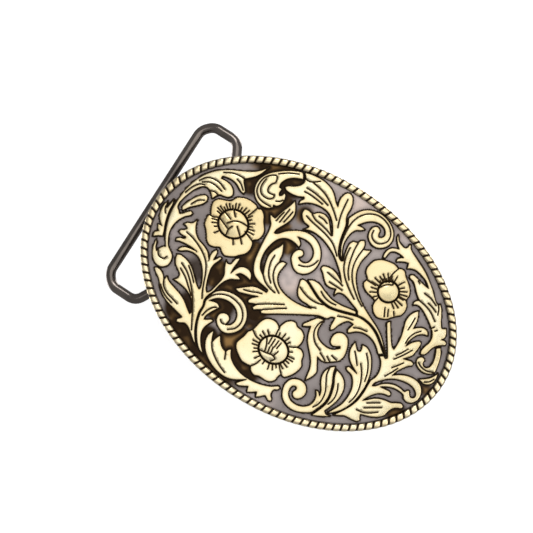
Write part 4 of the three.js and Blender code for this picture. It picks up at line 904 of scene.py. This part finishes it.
def loop_piece():
    mirrored = [(out, -up) for out, up in reversed(LOOP_CORNERS)]
    corners = [
        np.array((HINGE[0] - out * math.cos(LOOP_TILT), HINGE[1] + out * math.sin(LOOP_TILT), up))
        for out, up in LOOP_CORNERS + mirrored
    ]
    path = eased_path(corners, BEND_REACH)
    across = np.array((math.sin(LOOP_TILT), math.cos(LOOP_TILT), 0.0))
    sides = WIRE_SIDES
    turn = 2 * math.pi * np.arange(sides) / sides
    ahead = np.gradient(path, axis=0)
    ahead /= np.linalg.norm(ahead, axis=1)[:, None]
    rings = []
    first, last = (path[0], ahead[0]), (path[-1], ahead[-1])
    plan = [(first, 0.0, 0.2), (first, 0.0, 0.82), (first, 0.15, 1.0)]
    plan += [((p, d), 0.0, 1.0) for p, d in zip(path[1:-1], ahead[1:-1])]
    plan += [(last, -0.15, 1.0), (last, 0.0, 0.82), (last, 0.0, 0.2)]
    for (p, d), shift, share in plan:
        side = np.cross(d, across)
        side /= np.linalg.norm(side)
        ring = (p + d * shift + WIRE_RADIUS * share
                * (np.cos(turn)[:, None] * side + np.sin(turn)[:, None] * across))
        rings.append(ring)
    points = np.vstack(rings)
    faces = []
    for r in range(len(rings) - 1):
        for i in range(sides):
            j = (i + 1) % sides
            faces.append((r * sides + i, r * sides + j, (r + 1) * sides + j, (r + 1) * sides + i))
    faces.append(tuple(range(sides - 1, -1, -1)))
    faces.append(tuple(range((len(rings) - 1) * sides, len(rings) * sides)))
    obj = mesh_piece("strap_loop_wire", points, faces)
    bm = bmesh.new()
    bm.from_mesh(obj.data)
    bmesh.ops.recalc_face_normals(bm, faces=bm.faces[:])
    bm.to_mesh(obj.data)
    bm.free()
    finish_piece(obj, "loop", "strap_loop", black_nickel)


loop_piece()


# ---- Hinge barrel and hook ----------------------------------------------------------------

def softened_copy(node, name, voxel):
    """The CAD fitting copied, merged, and softened as a cast and brazed piece is."""
    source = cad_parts[node]
    mesh = source.data.copy()
    mesh.name = name
    obj = bpy.data.objects.new(name, mesh)
    bpy.context.scene.collection.objects.link(obj)
    bm = bmesh.new()
    bm.from_mesh(mesh)
    bmesh.ops.remove_doubles(bm, verts=bm.verts[:], dist=2e-6)
    bm.to_mesh(mesh)
    bm.free()
    apply_modifier(obj, "REMESH", mode="VOXEL", voxel_size=voxel * MM)
    apply_modifier(obj, "SMOOTH", factor=0.5, iterations=6)
    obj.data.shade_smooth()
    return obj


finish_piece(softened_copy("hinge_barrel", "hinge_tube", 0.16), "hinge_barrel", "plate",
             black_nickel)
finish_piece(softened_copy("hook", "back_hook", 0.13), "hook", "plate",
             black_nickel)


# ---- Studio -------------------------------------------------------------------------------

def backdrop():
    """A pale sheet behind the buckle, seen from its front only and casting nothing."""
    bpy.ops.mesh.primitive_plane_add(size=3.0, location=(0, 0.034, 0),
                                     rotation=(math.pi / 2, 0, 0))
    sheet = bpy.context.object
    sheet.name = "pale_floor"
    material = bpy.data.materials.new("pale_floor")
    material.use_nodes = True
    nodes, links = material.node_tree.nodes, material.node_tree.links
    shader = nodes["Principled BSDF"]
    shader.inputs["Base Color"].default_value = (0.6, 0.6, 0.6, 1)
    shader.inputs["Roughness"].default_value = 0.9
    shader.inputs["Emission Color"].default_value = (1, 1, 1, 1)
    shader.inputs["Emission Strength"].default_value = 0.72
    clear = nodes.new("ShaderNodeBsdfTransparent")
    rays = nodes.new("ShaderNodeLightPath").outputs["Is Camera Ray"]
    facing = nodes.new("ShaderNodeNewGeometry").outputs["Backfacing"]
    seen = math_node(nodes, links, "SUBTRACT", rays, facing, clamp=True)
    mix = nodes.new("ShaderNodeMixShader")
    links.new(seen, mix.inputs[0])
    links.new(clear.outputs[0], mix.inputs[1])
    links.new(shader.outputs[0], mix.inputs[2])
    links.new(mix.outputs[0], nodes["Material Output"].inputs["Surface"])
    sheet.data.materials.append(material)
    sheet.select_set(False)


def soft_light(name, place, size, power, colour=(1, 1, 1)):
    data = bpy.data.lights.new(name, "AREA")
    data.shape = "SQUARE"
    data.size = size
    data.energy = power
    data.color = colour
    lamp = bpy.data.objects.new(name, data)
    lamp.location = place
    lamp.rotation_euler = (-Vector(place)).to_track_quat("-Z", "Y").to_euler()
    bpy.context.scene.collection.objects.link(lamp)


backdrop()
soft_light("front", (-0.04, -1.05, 0.22), 1.15, 4.1, (1.0, 0.985, 0.95))
soft_light("key", (-0.35, -0.55, 0.55), 0.35, 1.5)
soft_light("fill", (0.6, -0.5, 0.1), 0.5, 1.2)
soft_light("rim", (0.1, 0.5, 0.5), 0.4, 2.0)
soft_light("low_back", (-0.4, 0.45, -0.3), 0.4, 1.5)

world = bpy.data.worlds.new("studio")
bpy.context.scene.world = world
world.use_nodes = True
world.node_tree.nodes["Background"].inputs["Color"].default_value = (1, 1, 1, 1)
world.node_tree.nodes["Background"].inputs["Strength"].default_value = 0.36
bpy.context.scene.view_settings.view_transform = "Standard"

# ---- Camera: straight at the front, turned so the oval slopes down to the right -----------

SLOPE = math.radians(32.75)
LENS = 200.0
SENSOR = 36.0
VIEW_WIDTH = 134.35 * MM
AIM_LEFT, AIM_UP = 8.13 * MM, 6.82 * MM
right = Vector((math.cos(SLOPE), 0, math.sin(SLOPE)))
up = Vector((-math.sin(SLOPE), 0, math.cos(SLOPE)))
camera_data = bpy.data.cameras.new("camera")
camera_data.lens = LENS
camera_data.sensor_width = SENSOR
camera = bpy.data.objects.new("camera", camera_data)
bpy.context.scene.collection.objects.link(camera)
distance = VIEW_WIDTH * LENS / SENSOR
place = -AIM_LEFT * right + AIM_UP * up + Vector((0, -0.003 - distance, 0))
turned = Matrix((right, up, Vector((0, -1, 0)))).transposed().to_4x4()
camera.matrix_world = Matrix.Translation(place) @ turned
bpy.context.scene.camera = camera
